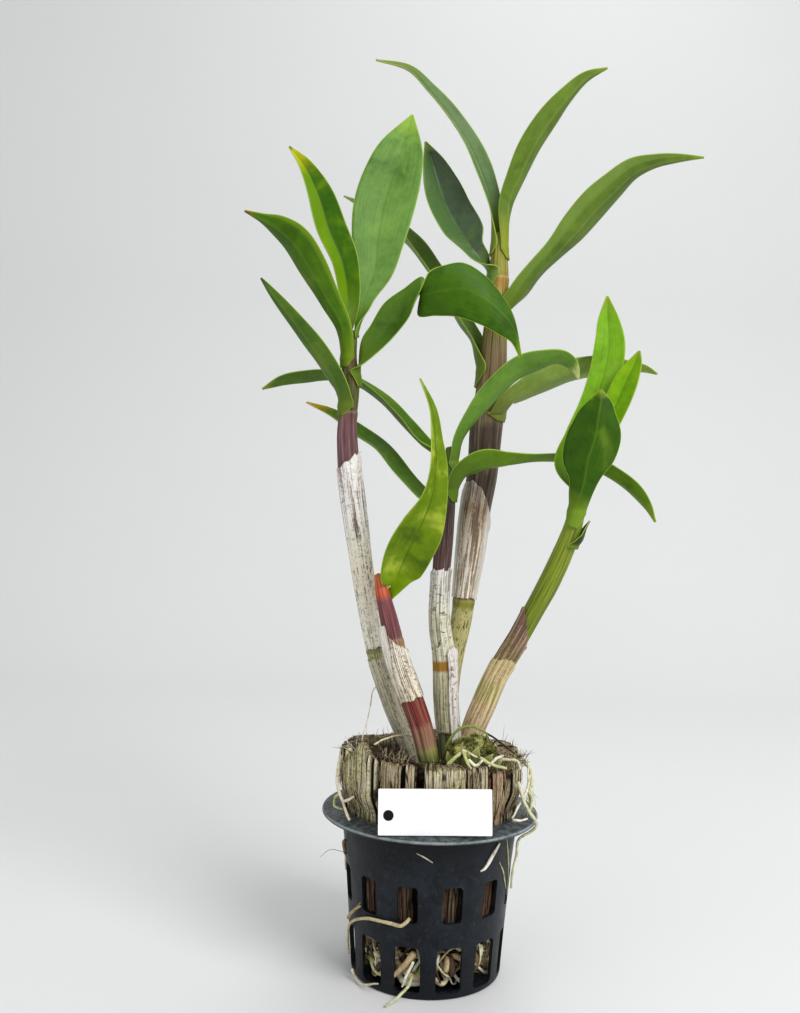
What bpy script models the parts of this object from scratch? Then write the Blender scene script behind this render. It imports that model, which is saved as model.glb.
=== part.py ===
# Dendrobium orchid in its net pot.
# Lengths are written in millimetres and turned into metres where a mesh is made.
# Origin: centre of the pot's base. +Z up, -Y is the front, +X is to the right seen from the front.
import math
import random

import bmesh
import bpy
import numpy as np
from mathutils import Matrix, Vector

MM = 0.001
GAP = 0.35                # left between pieces that touch
MERGE = 0.00005           # metres, merge distance of the turned pot

# Pot
POT_BASE_RADIUS = 36.0
POT_RIM_RADIUS = 52.0
POT_HEIGHT = 78.5
POT_WALL = 1.7
POT_FLOOR = 2.5
POT_STEPS = 36
WALL_HEIGHTS = (0.0, 1.5, 25.0, 55.0, 72.0, 80.0)
WALL_RADII = (34.5, 36.0, 37.7, 40.2, 42.2, 42.8)
SLOTS_AROUND = 12
UPPER_SLOT = (9.5, 35.4, 52.0)      # width, bottom, top
LOWER_SLOT = (12.0, 3.0, 24.0)
SLOT_REACH = 16.0                   # length of a slot's cutter through the wall
SLOT_CORNER = 2.0
SLOT_TURN = 15.0                    # heading of the first pair of slots
FLOOR_SLOTS = 8
FLOOR_SLOT = (5.0, 13.0, 30.0)      # width, inner and outer radius
FLOOR_SLOT_CORNER = 2.25
FLOOR_SLOT_DEPTH = 8.0

# Plant tag
TAG_SIZE = (50.2, 0.8, 19.9)        # width, thickness, height
TAG_CORNER = 0.5
TAG_FOOT = (1.0, -46.8, 78.1)       # middle of its lower edge
TAG_LEAN = 7.0                      # degrees back from upright
TAG_ROLL = 1.3                      # degrees, its right end the higher

# Medium
BALL_RADIUS = 30.0
BALL_TOP = 103.0
HUSK_INNER = 31.2
HUSK_FOOT = 28.0
WEDGE_TOP = 74.0                    # up to here the chunks follow the wall's inner face
RIM_CLEAR = 79.5                    # above here they lean out over the flange
LEAN_RISE = 12.0                    # height over which they lean out
HOLE_HEIGHTS = (101.0, 108.0, 114.0)
HOLE_SPARE = 0.9                    # play round a cane in its hole

# Leaves
BLADE = 0.8                         # thickness of a blade
BLADE_GAP = 0.5                     # between a clasping leaf base and its cane
BLADE_ACROSS = 4
BLADE_ALONG = 12
SECTION_CENTRE = 0.55               # share of the channel's depth below the leaf's line

# Dry sheaths
SHEATH = 0.6
SHEATH_GAP = 0.35

# Canes, base to tip: (x, y, z, radius)
CANES = {
    "a": [(-6, 2, 96, 5.0), (-11, 2, 109, 5.2), (-19.2, 2, 128, 5.4), (-27, 1, 150, 5.3),
          (-32.8, 0, 174, 4.9), (-37, -1, 196, 5.0), (-40, -2, 215, 5.4), (-43, -3, 234, 5.5),
          (-45, -3, 253, 5.0), (-45, -3, 265, 4.4), (-44, -4, 280, 4.1), (-45, -4, 292, 3.5),
          (-44, -4, 303, 2.3), (-44, -4, 306, 1.8)],
    "b": [(0.4, -18, 96, 4.6), (-2, -18, 105, 4.9), (-6, -18, 120, 5.2), (-12.2, -17, 136, 5.4),
          (-18.2, -16, 152, 5.0), (-22.4, -15, 169, 4.2), (-26, -14, 182, 3.2),
          (-28, -14, 190, 2.0)],
    "c": [(9, -2, 96, 4.6), (8, -2, 110, 4.8), (6, -2, 129, 5.0), (5, -2, 148, 5.0),
          (2, -2, 168, 4.4), (2, -2, 187, 4.2), (3, -1, 206, 4.5), (4, 0, 226, 4.2),
          (5, 0, 240, 3.6), (5, 1, 252, 2.0)],
    "d": [(8, 14, 96, 3.6), (8.4, 14, 115, 3.9), (9.2, 14, 135, 4.3), (11, 14, 152, 4.9),
          (13.6, 14, 167, 5.3), (15, 14, 181, 5.6), (17, 14, 200, 6.7), (19, 14, 220, 7.3),
          (22, 14, 241, 7.6),
          (23, 13, 261, 8.1), (25, 13, 281, 7.6), (26, 13, 306, 6.2), (27, 12, 326, 5.2),
          (27, 12, 345, 4.4), (27, 12, 360, 2.2)],
    "e": [(17.6, 6, 96, 4.4), (20, 6, 112, 4.7), (25, 5, 126, 5.0), (32, 4, 143, 4.8),
          (41.3, 2, 160, 4.7), (48.6, 0, 175, 4.9), (54.3, -2, 187, 5.1), (60, -4, 201, 4.9),
          (64, -6, 213, 4.4), (66.5, -8, 225, 3.6), (68, -9, 238, 2.0)],
}
CANE_JOINTS = {"a": [196, 222, 266], "b": [127, 152], "c": [147, 200, 224],
               "d": [175, 265, 316, 336], "e": [150, 178, 212]}
JOINT_SWELL = 0.35
CANE_SIDES_STEP = 3                 # bevel resolution, ten sides

# Dry sheaths: cane, height of foot and top, slit half angle, slit heading, slant of the top and
# the heading of its highest point, in degrees from +X
SHEATHS = {
    "sheath_a": ("a", 154, 243, 34, 178, 4, 0),
    "sheath_b": ("b", 132, 158.5, 30, 100, 5, 190),
    "sheath_c": ("c", 114, 191, 22, 120, 1.5, 300),
    "sheath_d": ("d", 177.5, 222, 26, 60, 10, 200),
    "sheath_e": ("e", 128, 165, 24, 60, 6, 180),
}

# Leaves: cane, height of foot, heading of the blade in degrees from +X, half angle that the base
# clasps, height of the clasp, bend of the channel, fold at the midrib, and stations along the
# blade: (x, y, z, half width, turn), turn 0 with the inner face to the front, 180 with the back
LEAVES = {
    "leaf_a1": ("a", 292, 218, 85, 2.5, 15, 14, [
        (-48, -9, 306, 4.5, 155), (-55, -12, 319, 6.4, 150), (-64, -17, 334, 8.6, 145),
        (-71, -20, 344, 9.0, 140), (-79, -22, 350, 6.4, 135), (-86, -24, 353, 2.9, 135),
        (-94, -25, 356, 0.6, 135)]),
    "leaf_a2": ("a", 302, 178, 72, 2.0, 15, 22, [
        (-46, -3, 321, 5.9, 25), (-49, -4, 339, 8.0, 25), (-56, -4, 355, 9.0, 20),
        (-62, -4, 372, 7.2, 20), (-69, -3, 385, 4.1, 20), (-77, -3, 394, 0.6, 20)]),
    "leaf_a3": ("a", 303, 8, 68, 2.0, 12, 6, [
        (-38.5, 1, 322, 4.4, 0), (-34, 4, 338, 9.6, 0), (-33, 7, 354, 13.6, 0),
        (-30.6, 10, 371, 15.4, 0), (-26.6, 12, 387, 14.5, 0), (-22.4, 14, 402, 10.6, 0),
        (-18, 15, 418, 0.6, 0)]),
    "leaf_a5": ("a", 269, 215, 80, 3.0, 16, 10, [
        (-49.5, -9, 279, 6.0, 130), (-57, -13, 291, 6.3, 135), (-66.5, -16, 303, 5.2, 140),
        (-75.5, -19, 313.5, 3.6, 145), (-81.5, -21, 320.5, 2.1, 150),
        (-86, -22, 326, 0.6, 150)]),
    "leaf_b1": ("b", 177, 45, 36, 2.0, 15, 10, [
        (-19, -14, 184, 3.2, 5), (-18.8, -18.5, 187.5, 8.0, 20),
        (-17.4, -22, 192, 10.4, 20), (-13.8, -26, 201.5, 11.6, 15),
        (-8.6, -29, 212.5, 11.0, 20), (-3.6, -30, 226, 8.0, 35), (-2, -30, 240, 6.7, 50),
        (-3, -29, 253, 4.6, 50), (-5, -28, 267, 2.8, 50), (-11, -26, 281, 0.6, 50)]),
    "leaf_c1": ("c", 243, 160, 80, 2.5, 18, 26, [
        (-8, 6, 254, 5.9, 60), (-17, 12, 264, 6.8, 65), (-29, 20, 276.5, 6.2, 70),
        (-43, 28, 286, 6.2, 78), (-57, 34, 289.5, 8.2, 85), (-70, 38, 288.5, 8.6, 88),
        (-82, 41, 286.5, 6.6, 92), (-93, 43, 282, 0.8, 95)]),
    "leaf_c2": ("c", 219, 170, 72, 2.5, 18, 14, [
        (-6, 5, 226, 6.9, 60), (-18, 10, 238, 7.4, 60), (-29, 16, 251, 7.5, 60),
        (-41, 20, 259, 7.1, 60), (-54, 24, 268, 5.1, 60), (-68, 27, 274, 0.6, 60)]),
    "leaf_c4": ("c", 243, 335, 75, 2.0, 16, 10, [
        (9.4, -5, 256.5, 4.2, -130), (17.8, -9, 270, 6.6, -130),
        (26.6, -10.5, 280.6, 7.8, -130), (35.4, -11, 288.4, 8.5, -125), (46, -10, 292.6, 7.9, -120),
        (55.5, -9, 294.8, 5.8, -120), (61.8, -8, 291.5, 4.0, -120), (65, -8, 285, 0.6, -120)]),
    "leaf_c5": ("c", 229, 335, 75, 2.5, 16, 14, [
        (11, -6, 239, 6.8, -130), (20, -7, 244, 9.0, -125), (31, -5, 245, 8.0, -115),
        (44, 0, 247, 5.6, -100), (55, 6, 248, 6.4, -100), (70, 9, 248, 7.6, -110),
        (85, 8, 241, 7.4, -110), (95, 6, 234, 6.4, -115), (102, 4, 226, 3.4, -120),
        (106, 2, 218, 0.6, -120)]),
    "leaf_d1": ("d", 353, 175, 75, 2.0, 16, 25, [
        (24, 12, 371, 4.8, 35), (18.6, 13, 388, 6.8, 35), (11.4, 14, 404, 6.8, 38),
        (1.2, 14, 418.6, 6.0, 40), (-9.6, 14, 430.6, 4.6, 40), (-20.5, 14, 440.6, 3.0, 40),
        (-37, 13, 444, 0.6, 40)]),
    "leaf_d2": ("d", 351, 350, 75, 2.0, 16, 14, [
        (30, 11, 373, 5.2, -140), (34.6, 9, 386.6, 6.8, -135), (40.8, 7, 401, 8.0, -135),
        (48.8, 5, 414, 7.2, -135), (57.4, 3, 425, 5.6, -130), (66, 2, 433.6, 3.3, -130),
        (76, 1, 438, 0.6, -130)]),
    "leaf_d3": ("d", 319, 350, 80, 2.5, 16, 14, [
        (38, 11, 330, 9.2, -120), (46, 10, 341, 8.0, -125), (55, 9, 351, 8.0, -130),
        (64, 8, 361.6, 10.2, -135), (73, 7, 372.4, 11.0, -135), (82, 6, 381.6, 9.8, -130),
        (91, 5, 389.8, 7.9, -125), (102, 4, 394, 5.1, -120), (113, 4, 396, 3.0, -120),
        (125, 4, 397, 0.6, -120)]),
    "leaf_d4": ("d", 338, 195, 72, 2.0, 15, 16, [
        (14, 7, 350, 6.0, 10), (9.2, 12, 359, 11.0, 15), (2, 16, 372, 11.7, 15),
        (-2.8, 20, 385, 10.2, 15), (-6.4, 22, 396, 6.8, 15), (-11, 24, 408, 0.6, 15)]),
    "leaf_d5": ("d", 290, 160, 80, 2.5, 16, 22, [
        (17, 17, 306, 8.0, 60), (10, 19, 317, 9.1, 60), (2, 22, 332, 8.8, 55),
        (-7, 24, 345, 8.9, 55), (-17, 26, 358, 9.2, 60), (-34, 28, 372, 7.3, 65),
        (-52, 30, 381, 0.7, 65)]),
    "leaf_d6": ("d", 268, 330, 66, 2.5, 16, 12, [
        (34, 3, 276, 7.8, -120), (43, 6, 282, 8.7, -130), (55, 9, 288, 9.5, -130),
        (68, 12, 292, 9.0, -125), (80, 14, 294, 8.4, -120), (92, 15, 294, 7.0, -115),
        (101, 15, 294, 4.1, -110), (108, 15, 292, 0.7, -110)]),
    "leaf_e1": ("e", 230, 110, 72, 2.0, 14, 10, [
        (61, -2, 244, 6.4, 10), (67, 0, 257, 7.8, 5), (74, 1, 273, 7.8, 0),
        (79, 1, 289, 8.1, 0), (81, 1, 304, 7.8, 0), (80, 1, 316, 5.4, 0),
        (79, 0, 327, 0.6, 0)]),
    "leaf_e2": ("e", 232, 322, 60, 1.5, 14, 12, [
        (72, -7, 244, 4.4, -10), (78, -6, 261, 5.8, -10), (84, -6, 275, 6.4, -15),
        (88, -6, 285, 6.1, -20), (92, -6, 294, 3.6, -20), (94, -6, 300, 0.6, -20)]),
    "leaf_e3": ("e", 222, 250, 75, 2.0, 14, 8, [
        (67, -17, 236, 7.0, 180), (68, -19, 246, 12.1, 180), (71, -20, 257, 13.0, 180),
        (72, -21, 266, 10.2, 180), (73, -21, 273, 6.0, 180), (73, -21, 279, 0.6, 180)]),
    "bract_e": ("e", 206, 350, 80, 2.0, 18, 10, [
        (69.4, -7.4, 213, 3.4, -90), (72, -8.6, 217.8, 0.6, -90)]),
}

# One leaf turns over in mid-length, so it is given by its two margins: near point, far point and
# how far its middle bulges to the front
TWISTED_LEAF = "leaf_a4"
TWISTED_BASE = ("a", 284, 335, 62, 2.0)   # cane, foot, heading, half angle, height of the clasp
TWISTED_MARGINS = [
    (-38, -11, 289, -39.5, -8, 300, 1.2), (-28, -16, 297, -35, -10, 308, 2.0),
    (-22, -20, 303, -29, -12, 318, 2.4), (-17, -29, 309, -19, -14, 325, 1.6),
    (-15, -34, 314, -11, -16, 330, 0.6), (-12, -38, 320, -10, -18, 322, 0.8),
    (-9, -38, 327, -13, -23, 311, -1.2), (-2, -36, 331, -5, -29, 309.5, -2.2),
    (7, -33, 333, 5, -33, 308.5, -2.6), (17, -31, 328, 16, -33, 305, -2.4),
    (25, -29, 320, 24, -32, 301, -1.8), (31, -28, 310, 30, -30, 298, -0.9),
    (35.2, -28, 291.7, 34.2, -28, 291.0, 0.0),
]
TWISTED_ALONG = 20

# Husk chunks: heading in degrees from the front towards +X, half angle, outer radius above the
# rim, height of the top, rise of the top from outer to inner edge
HUSKS = [
    (-58.5, 19.0, 44.6, 107.0, -2.0),
    (-24.5, 12.5, 41.6, 107.0, 0.5),
    (7.5, 14.0, 41.8, 106.0, 0.0),
    (32, 8.5, 39.6, 105.0, 0.5),
    (50, 7.5, 41.5, 102.0, 1.0),
    (73, 12.5, 44.0, 105.0, 2.0),
    (105, 16.0, 43.0, 106.0, 1.0),
    (143, 18.0, 42.5, 104.0, 1.5),
    (181, 17.0, 42.0, 106.0, 0.5),
    (220, 18.0, 43.0, 104.0, 2.0),
    (261, 19.0, 44.0, 106.0, 2.0),
]

# The first chunk's top is peaked: place of the peak across it from -1 to 1, its height above the
# row's, and the fall to either end for each unit of place
PEAK = (0.45, 7.5, 10.7, 7.3)
# Triangles of a chunk's top, from outer corners 0 to 6 and inner corners 7 to 10
TOP_STRIP = ((0, 1, 10), (1, 9, 10), (1, 2, 9), (2, 3, 9), (3, 8, 9), (3, 4, 8), (4, 5, 8),
             (5, 7, 8), (5, 6, 7))

# Roots outside the medium: (heading from the front, height, distance from the pot's axis)
ROOTS = {
    "root_left": (0.85, [(-13, 38.5, 38.3), (-15.5, 36.8, 39.3), (-18.5, 34.5, 40.35),
                         (-25, 34.7, 40.3), (-35, 34.4, 40.2), (-45, 33.3, 40.05),
                         (-57, 30.0, 39.7), (-68, 25.2, 39.2), (-75, 19.0, 38.7),
                         (-78, 12.5, 38.15), (-76, 8.5, 37.85)]),
    "root_foot": (0.8, [(-12, 9.5, 33.6), (-14, 5.8, 34.8), (-16, 4.4, 36.4), (-18, 3.2, 38.2),
                        (-20, 1.9, 40.8), (-21.8, 1.25, 44.2), (-22.8, 1.2, 47.4)]),
    "root_right": (0.85, [(61, 96, 45.6), (62, 88, 48.0), (64, 82, 50.6), (66, 78.5, 52.9),
                          (67, 75.5, 53.3), (68, 72.5, 50.8), (68, 67.5, 44.8), (70, 60, 43.6),
                          (67, 52, 42.4), (70, 44, 41.4)]),
    "root_rim": (0.9, [(-67.5, 104.5, 46.2), (-68, 98.8, 47.3), (-66, 92.7, 48.3),
                       (-63, 88.2, 47.9), (-59.5, 84.7, 47.3), (-55.5, 80.4, 47.3),
                       (-52, 78.4, 47.6)]),
}


def clearScene():
    for item in list(bpy.data.objects):
        bpy.data.objects.remove(item, do_unlink=True)


def newCollection(name):
    collection = bpy.data.collections.new(name)
    bpy.context.scene.collection.children.link(collection)
    return collection


def material(name, colour, roughness, metallic=0.0):
    shade = bpy.data.materials.new(name)
    shade.use_nodes = True
    principled = shade.node_tree.nodes["Principled BSDF"]
    principled.inputs["Base Color"].default_value = (*colour, 1.0)
    principled.inputs["Roughness"].default_value = roughness
    principled.inputs["Metallic"].default_value = metallic
    return shade


def meshObject(name, points, faces, shade, collection):
    mesh = bpy.data.meshes.new(name)
    mesh.from_pydata([tuple(float(value) * MM for value in point) for point in points], [], faces)
    mesh.materials.append(shade)
    mesh.shade_smooth()
    mesh.set_sharp_from_angle(angle=math.radians(40))
    item = bpy.data.objects.new(name, mesh)
    collection.objects.link(item)
    return item


def bakeModifiers(item):
    """Give the object the mesh that its modifiers make, and drop them."""
    graph = bpy.context.evaluated_depsgraph_get()
    mesh = bpy.data.meshes.new_from_object(item.evaluated_get(graph))
    item.modifiers.clear()
    item.data = mesh


def booleanWith(item, operand, operation):
    """Boolean of an object with a whole collection."""
    step = item.modifiers.new(operation.title(), "BOOLEAN")
    step.operation = operation
    step.operand_type = "COLLECTION"
    step.collection = operand
    step.solver = "EXACT"
    return step


def hideCutter(item):
    item.hide_render = True
    item.display_type = "WIRE"


def smoothCurve(stations, places):
    """Catmull-Rom curve through the stations, read at places from 0 to 1 along its length."""
    rows = np.asarray(stations, float)
    chord = np.linalg.norm(np.diff(rows[:, :3], axis=0), axis=1) ** 0.8
    knots = np.concatenate([[0.0], np.cumsum(chord)])
    knots /= knots[-1]
    slopes = np.gradient(rows, knots, axis=0)
    slopes[1:-1] = (rows[2:] - rows[:-2]) / (knots[2:] - knots[:-2])[:, None]
    at = np.clip(np.searchsorted(knots, places) - 1, 0, len(rows) - 2)
    span = (knots[at + 1] - knots[at])[:, None]
    t = (np.asarray(places) - knots[at])[:, None] / span
    return ((2 * t**3 - 3 * t**2 + 1) * rows[at] + (t**3 - 2 * t**2 + t) * span * slopes[at]
            + (3 * t**2 - 2 * t**3) * rows[at + 1] + (t**3 - t**2) * span * slopes[at + 1])


def caneAt(cane, height):
    """Centre, direction and radius of a cane at one height."""
    fine = smoothCurve(CANES[cane], np.linspace(0.0, 1.0, 241))
    centre = np.array([np.interp(height, fine[:, 2], fine[:, axis]) for axis in range(4)])
    near = np.array([[np.interp(height + step, fine[:, 2], fine[:, axis]) for axis in range(3)]
                     for step in (-2.0, 2.0)])
    direction = near[1] - near[0]
    return centre[:3], direction / np.linalg.norm(direction), centre[3]


def caneStations(cane):
    """Points and radii of a cane, closer together at its joints."""
    low = CANES[cane][0][2]
    high = CANES[cane][-1][2]
    heights = set(np.linspace(low, high, max(5, int((high - low) / 16))))
    for joint in CANE_JOINTS[cane]:
        heights = {height for height in heights if abs(height - joint) > 5.0}
        heights |= {joint - 2.2, joint, joint + 2.2}
    points = []
    radii = []
    for height in sorted(heights):
        centre, _, radius = caneAt(cane, height)
        points.append(centre)
        radii.append(radius + (JOINT_SWELL if height in CANE_JOINTS[cane] else 0.0))
    return points, radii


def tube(name, points, radii, shade, collection, sidesStep):
    """Round tube with filled caps, its radius given at every point."""
    curve = bpy.data.curves.new(name, "CURVE")
    curve.dimensions = "3D"
    curve.bevel_depth = MM
    curve.bevel_resolution = sidesStep
    curve.use_fill_caps = True
    spline = curve.splines.new("POLY")
    spline.points.add(len(points) - 1)
    for knot, point, radius in zip(spline.points, points, radii):
        knot.co = (*(float(value) * MM for value in point), 1.0)
        knot.radius = float(radius)
    curve.materials.append(shade)
    item = bpy.data.objects.new(name, curve)
    collection.objects.link(item)
    return item


def meshFromTube(item, collection):
    """The tube as a welded mesh, for a Boolean."""
    bpy.context.view_layer.update()
    graph = bpy.context.evaluated_depsgraph_get()
    mesh = bpy.data.meshes.new_from_object(item.evaluated_get(graph))
    weld = bmesh.new()
    weld.from_mesh(mesh)
    bmesh.ops.remove_doubles(weld, verts=weld.verts, dist=MERGE / 10)
    weld.to_mesh(mesh)
    weld.free()
    name = item.name
    place = item.matrix_world.copy()
    bpy.data.objects.remove(item, do_unlink=True)
    solid = bpy.data.objects.new(name, mesh)
    solid.matrix_world = place
    collection.objects.link(solid)
    return solid


def potWallOuter(height):
    """Outer radius of the pot's wall at a height."""
    return float(np.interp(height, WALL_HEIGHTS, WALL_RADII))


def potWallInner(height):
    return potWallOuter(height) - POT_WALL


def potProfile():
    """Half section of the pot, from the middle of the floor up inside and down outside."""
    lip = POT_RIM_RADIUS
    top = POT_HEIGHT
    return [
        (0.0, POT_FLOOR),
        (potWallInner(4.0) - 1.5, POT_FLOOR),
        (potWallInner(4.0), 4.0),
        (potWallInner(25.0), 25.0),
        (potWallInner(55.0), 55.0),
        (potWallInner(72.0), 72.0),
        (potWallInner(77.0) + 0.4, top - 1.2),
        (potWallInner(78.5) + 1.6, top),
        (lip - 5.4, top - 0.8),
        (lip - 0.7, top - 1.9),
        (lip, top - 2.7),
        (lip - 0.4, top - 3.6),
        (lip - 1.2, top - 3.6),
        (lip - 5.4, top - 2.7),
        (potWallOuter(75.0) + 1.0, top - 2.4),
        (potWallOuter(72.0), 72.0),
        (potWallOuter(55.0), 55.0),
        (potWallOuter(25.0), 25.0),
        (POT_BASE_RADIUS, 1.5),
        (POT_BASE_RADIUS - 1.2, 0.0),
        (0.0, 0.0),
    ]


def roundedBlock(name, size, axis, corner, segments):
    """Mesh of a block of the given size with its four edges along one axis rounded."""
    solid = bmesh.new()
    bmesh.ops.create_cube(solid, size=MM)
    bmesh.ops.scale(solid, vec=size, verts=solid.verts)
    along = [edge for edge in solid.edges
             if abs((edge.verts[0].co - edge.verts[1].co).normalized()[axis]) > 0.9]
    bmesh.ops.bevel(solid, geom=along, offset=corner * MM, segments=segments, profile=0.5,
                    affect="EDGES")
    mesh = bpy.data.meshes.new(name)
    solid.to_mesh(mesh)
    solid.free()
    return mesh


def slotCutter(name, mesh, place, heading, cutters):
    """Cutter of one slot: placed in front of the axis, then turned about it."""
    item = bpy.data.objects.new(name, mesh)
    turn = Matrix.Rotation(math.radians(heading), 4, "Z")
    item.matrix_world = turn @ Matrix.Translation(Vector(place) * MM)
    hideCutter(item)
    cutters.objects.link(item)


def buildPot(collection):
    plastic = material("pot_plastic", (0.035, 0.045, 0.058), 0.42)
    profile = potProfile()
    mesh = bpy.data.meshes.new("pot")
    mesh.from_pydata([(radius * MM, 0.0, height * MM) for radius, height in profile],
                     [(i, i + 1) for i in range(len(profile) - 1)], [])
    mesh.materials.append(plastic)
    pot = bpy.data.objects.new("pot", mesh)
    collection.objects.link(pot)
    turned = pot.modifiers.new("Turned", "SCREW")
    turned.steps = POT_STEPS
    turned.render_steps = POT_STEPS
    turned.use_merge_vertices = True
    turned.merge_threshold = MERGE
    turned.use_smooth_shade = True
    cutters = newCollection("pot_cutters")
    for label, (width, low, high) in (("upper", UPPER_SLOT), ("lower", LOWER_SLOT)):
        block = roundedBlock(f"{label}_slot", (width, SLOT_REACH, high - low), 1, SLOT_CORNER, 2)
        middle = 0.5 * (low + high)
        for index in range(SLOTS_AROUND):
            slotCutter(f"{label}_slot_{index}", block, (0.0, -potWallOuter(middle), middle),
                       SLOT_TURN + index * 360.0 / SLOTS_AROUND, cutters)
    width, inner, outer = FLOOR_SLOT
    block = roundedBlock("floor_slot", (width, outer - inner, FLOOR_SLOT_DEPTH), 2,
                         FLOOR_SLOT_CORNER, 2)
    for index in range(FLOOR_SLOTS):
        slotCutter(f"floor_slot_{index}", block, (0.0, -0.5 * (inner + outer), 1.0),
                   index * 360.0 / FLOOR_SLOTS, cutters)
    booleanWith(pot, cutters, "DIFFERENCE")


def buildTag(collection):
    card = material("tag_card", (0.85, 0.86, 0.86), 0.35)
    mesh = roundedBlock("tag", TAG_SIZE, 1, TAG_CORNER, 3)
    mesh.transform(Matrix.Translation((0.0, 0.0, 0.5 * TAG_SIZE[2] * MM)))
    mesh.materials.append(card)
    tag = bpy.data.objects.new("tag", mesh)
    tag.location = Vector(TAG_FOOT) * MM
    tag.rotation_euler = (math.radians(-TAG_LEAN), math.radians(-TAG_ROLL), 0.0)
    collection.objects.link(tag)


def polar(heading, radius, height):
    """Point at a heading from the front towards +X."""
    angle = math.radians(heading)
    return (radius * math.sin(angle), -radius * math.cos(angle), height)


def ringSolid(rings):
    """Faces that join closed rings of equal count, with both ends filled."""
    count = len(rings[0])
    points = [point for ring in rings for point in ring]
    faces = []
    for row in range(len(rings) - 1):
        for column in range(count):
            after = (column + 1) % count
            low = row * count
            high = low + count
            faces.append((low + column, low + after, high + after, high + column))
    faces.append(tuple(reversed(range(count))))
    faces.append(tuple(range(len(points) - count, len(points))))
    return points, faces


def huskOuter(height, flare, ridge):
    """Outer face of a chunk: inside the wall below the rim, leaning out above it."""
    wedged = potWallInner(min(height, WEDGE_TOP)) - GAP - ridge
    lean = np.clip((height - RIM_CLEAR) / LEAN_RISE, 0.0, 1.0)
    lean = lean * lean * (3.0 - 2.0 * lean)
    return wedged + (flare - ridge - wedged) * lean


def crownLift(index, place):
    """Height of a chunk's top edge above its row's height, at a place across it."""
    if index > 0:
        return 0.0
    peak, height, left, right = PEAK
    return height - (left * (peak - place) if place < peak else right * (place - peak))


def buildHusk(index, collection, shade):
    """Upright slab of coconut husk with ridged outer face."""
    heading, half, flare, top, rise = HUSKS[index]
    draw = random.Random(40 + index)
    columns = 6
    depth = [draw.uniform(0.0, 1.1) for _ in range(columns + 1)]
    skew = draw.uniform(-1.0, 1.0)
    heights = [HUSK_FOOT, 42.0, 58.0, 74.0, 79.4, 84.0, 91.0, 98.0, top]
    rings = []
    for level, height in enumerate(heights):
        last = level == len(heights) - 1
        ring = []
        for column in range(columns + 1):
            place = 2.0 * column / columns - 1.0
            corner = 1.2 if abs(place) == 1.0 else 0.0
            ridge = depth[column] + draw.uniform(0.0, 0.4) + corner
            angle = heading + place * half
            drop = skew * place + crownLift(index, place) if last else 0.0
            ring.append(polar(angle, huskOuter(height, flare, ridge), height + drop))
        for column in (1.0, 0.33, -0.33, -1.0):
            grain = draw.uniform(0.0, 0.7)
            lift = rise + crownLift(index, column) if last else 0.0
            ring.append(polar(heading + column * half, HUSK_INNER + grain, height + lift))
        rings.append(ring)
    points, faces = ringSolid(rings)
    faces.pop()
    start = len(points) - len(rings[0])
    faces.extend(tuple(start + corner for corner in triangle) for triangle in TOP_STRIP)
    meshObject(f"husk_{index + 1}", points, faces, shade, collection)


def rootLoop(draw):
    """One root of the ball that bulges out above the floor and goes back in."""
    heading = draw.uniform(0.0, 360.0)
    sweep = draw.uniform(-70.0, 70.0)
    low = draw.uniform(6.0, 20.0)
    high = draw.uniform(6.0, 24.0)
    reach = draw.uniform(30.5, 32.8)
    steps = 7
    points = []
    for step in range(steps):
        share = step / (steps - 1)
        bulge = math.sin(math.pi * share) ** 0.6
        height = low + (high - low) * share + 2.5 * math.sin(5.0 * share + heading)
        points.append(polar(heading + sweep * share, 21.0 + (reach - 21.0) * bulge,
                            max(height, 4.6)))
    return points


def buildRootBall(collection, cutters):
    """Core of fibre and roots that fills the pot, with a plain hole for each cane."""
    fibre = material("root_fibre", (0.16, 0.10, 0.055), 0.95)
    levels = [(19.0, POT_FLOOR + GAP), (23.5, 6.0), (25.5, 12.0), (25.0, 20.0), (26.0, 26.0),
              (29.5, 32.0), (BALL_RADIUS, 50.0), (BALL_RADIUS, 78.0), (BALL_RADIUS, 97.0),
              (27.0, 101.0), (18.0, BALL_TOP)]
    count = 18
    rings = []
    for level, (radius, height) in enumerate(levels):
        ring = []
        for column in range(count):
            heading = 360.0 * column / count
            wave = (math.sin(3.0 * math.radians(heading) + level)
                    + math.sin(5.0 * math.radians(heading) - 2.0 * level))
            rough = 0.35 * wave if level > 0 else 0.0
            ring.append(polar(heading, radius - 0.7 + rough, height + (rough if level > 8 else 0)))
        rings.append(ring)
    points, faces = ringSolid(rings)
    ball = meshObject("root_ball", points, faces, fibre, collection)
    roots = newCollection("ball_roots")
    draw = random.Random(7)
    for index in range(10):
        path = smoothCurve(rootLoop(draw), np.linspace(0.0, 1.0, 11))
        loose = tube(f"ball_root_{index}", path, [draw.uniform(0.9, 1.3)] * 11, fibre, roots, 1)
        meshFromTube(loose, roots)
    joined = booleanWith(ball, roots, "UNION")
    joined.use_self = True
    bakeModifiers(ball)
    for item in list(roots.objects):
        bpy.data.objects.remove(item, do_unlink=True)
    bpy.data.collections.remove(roots)
    booleanWith(ball, cutters, "DIFFERENCE")


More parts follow.
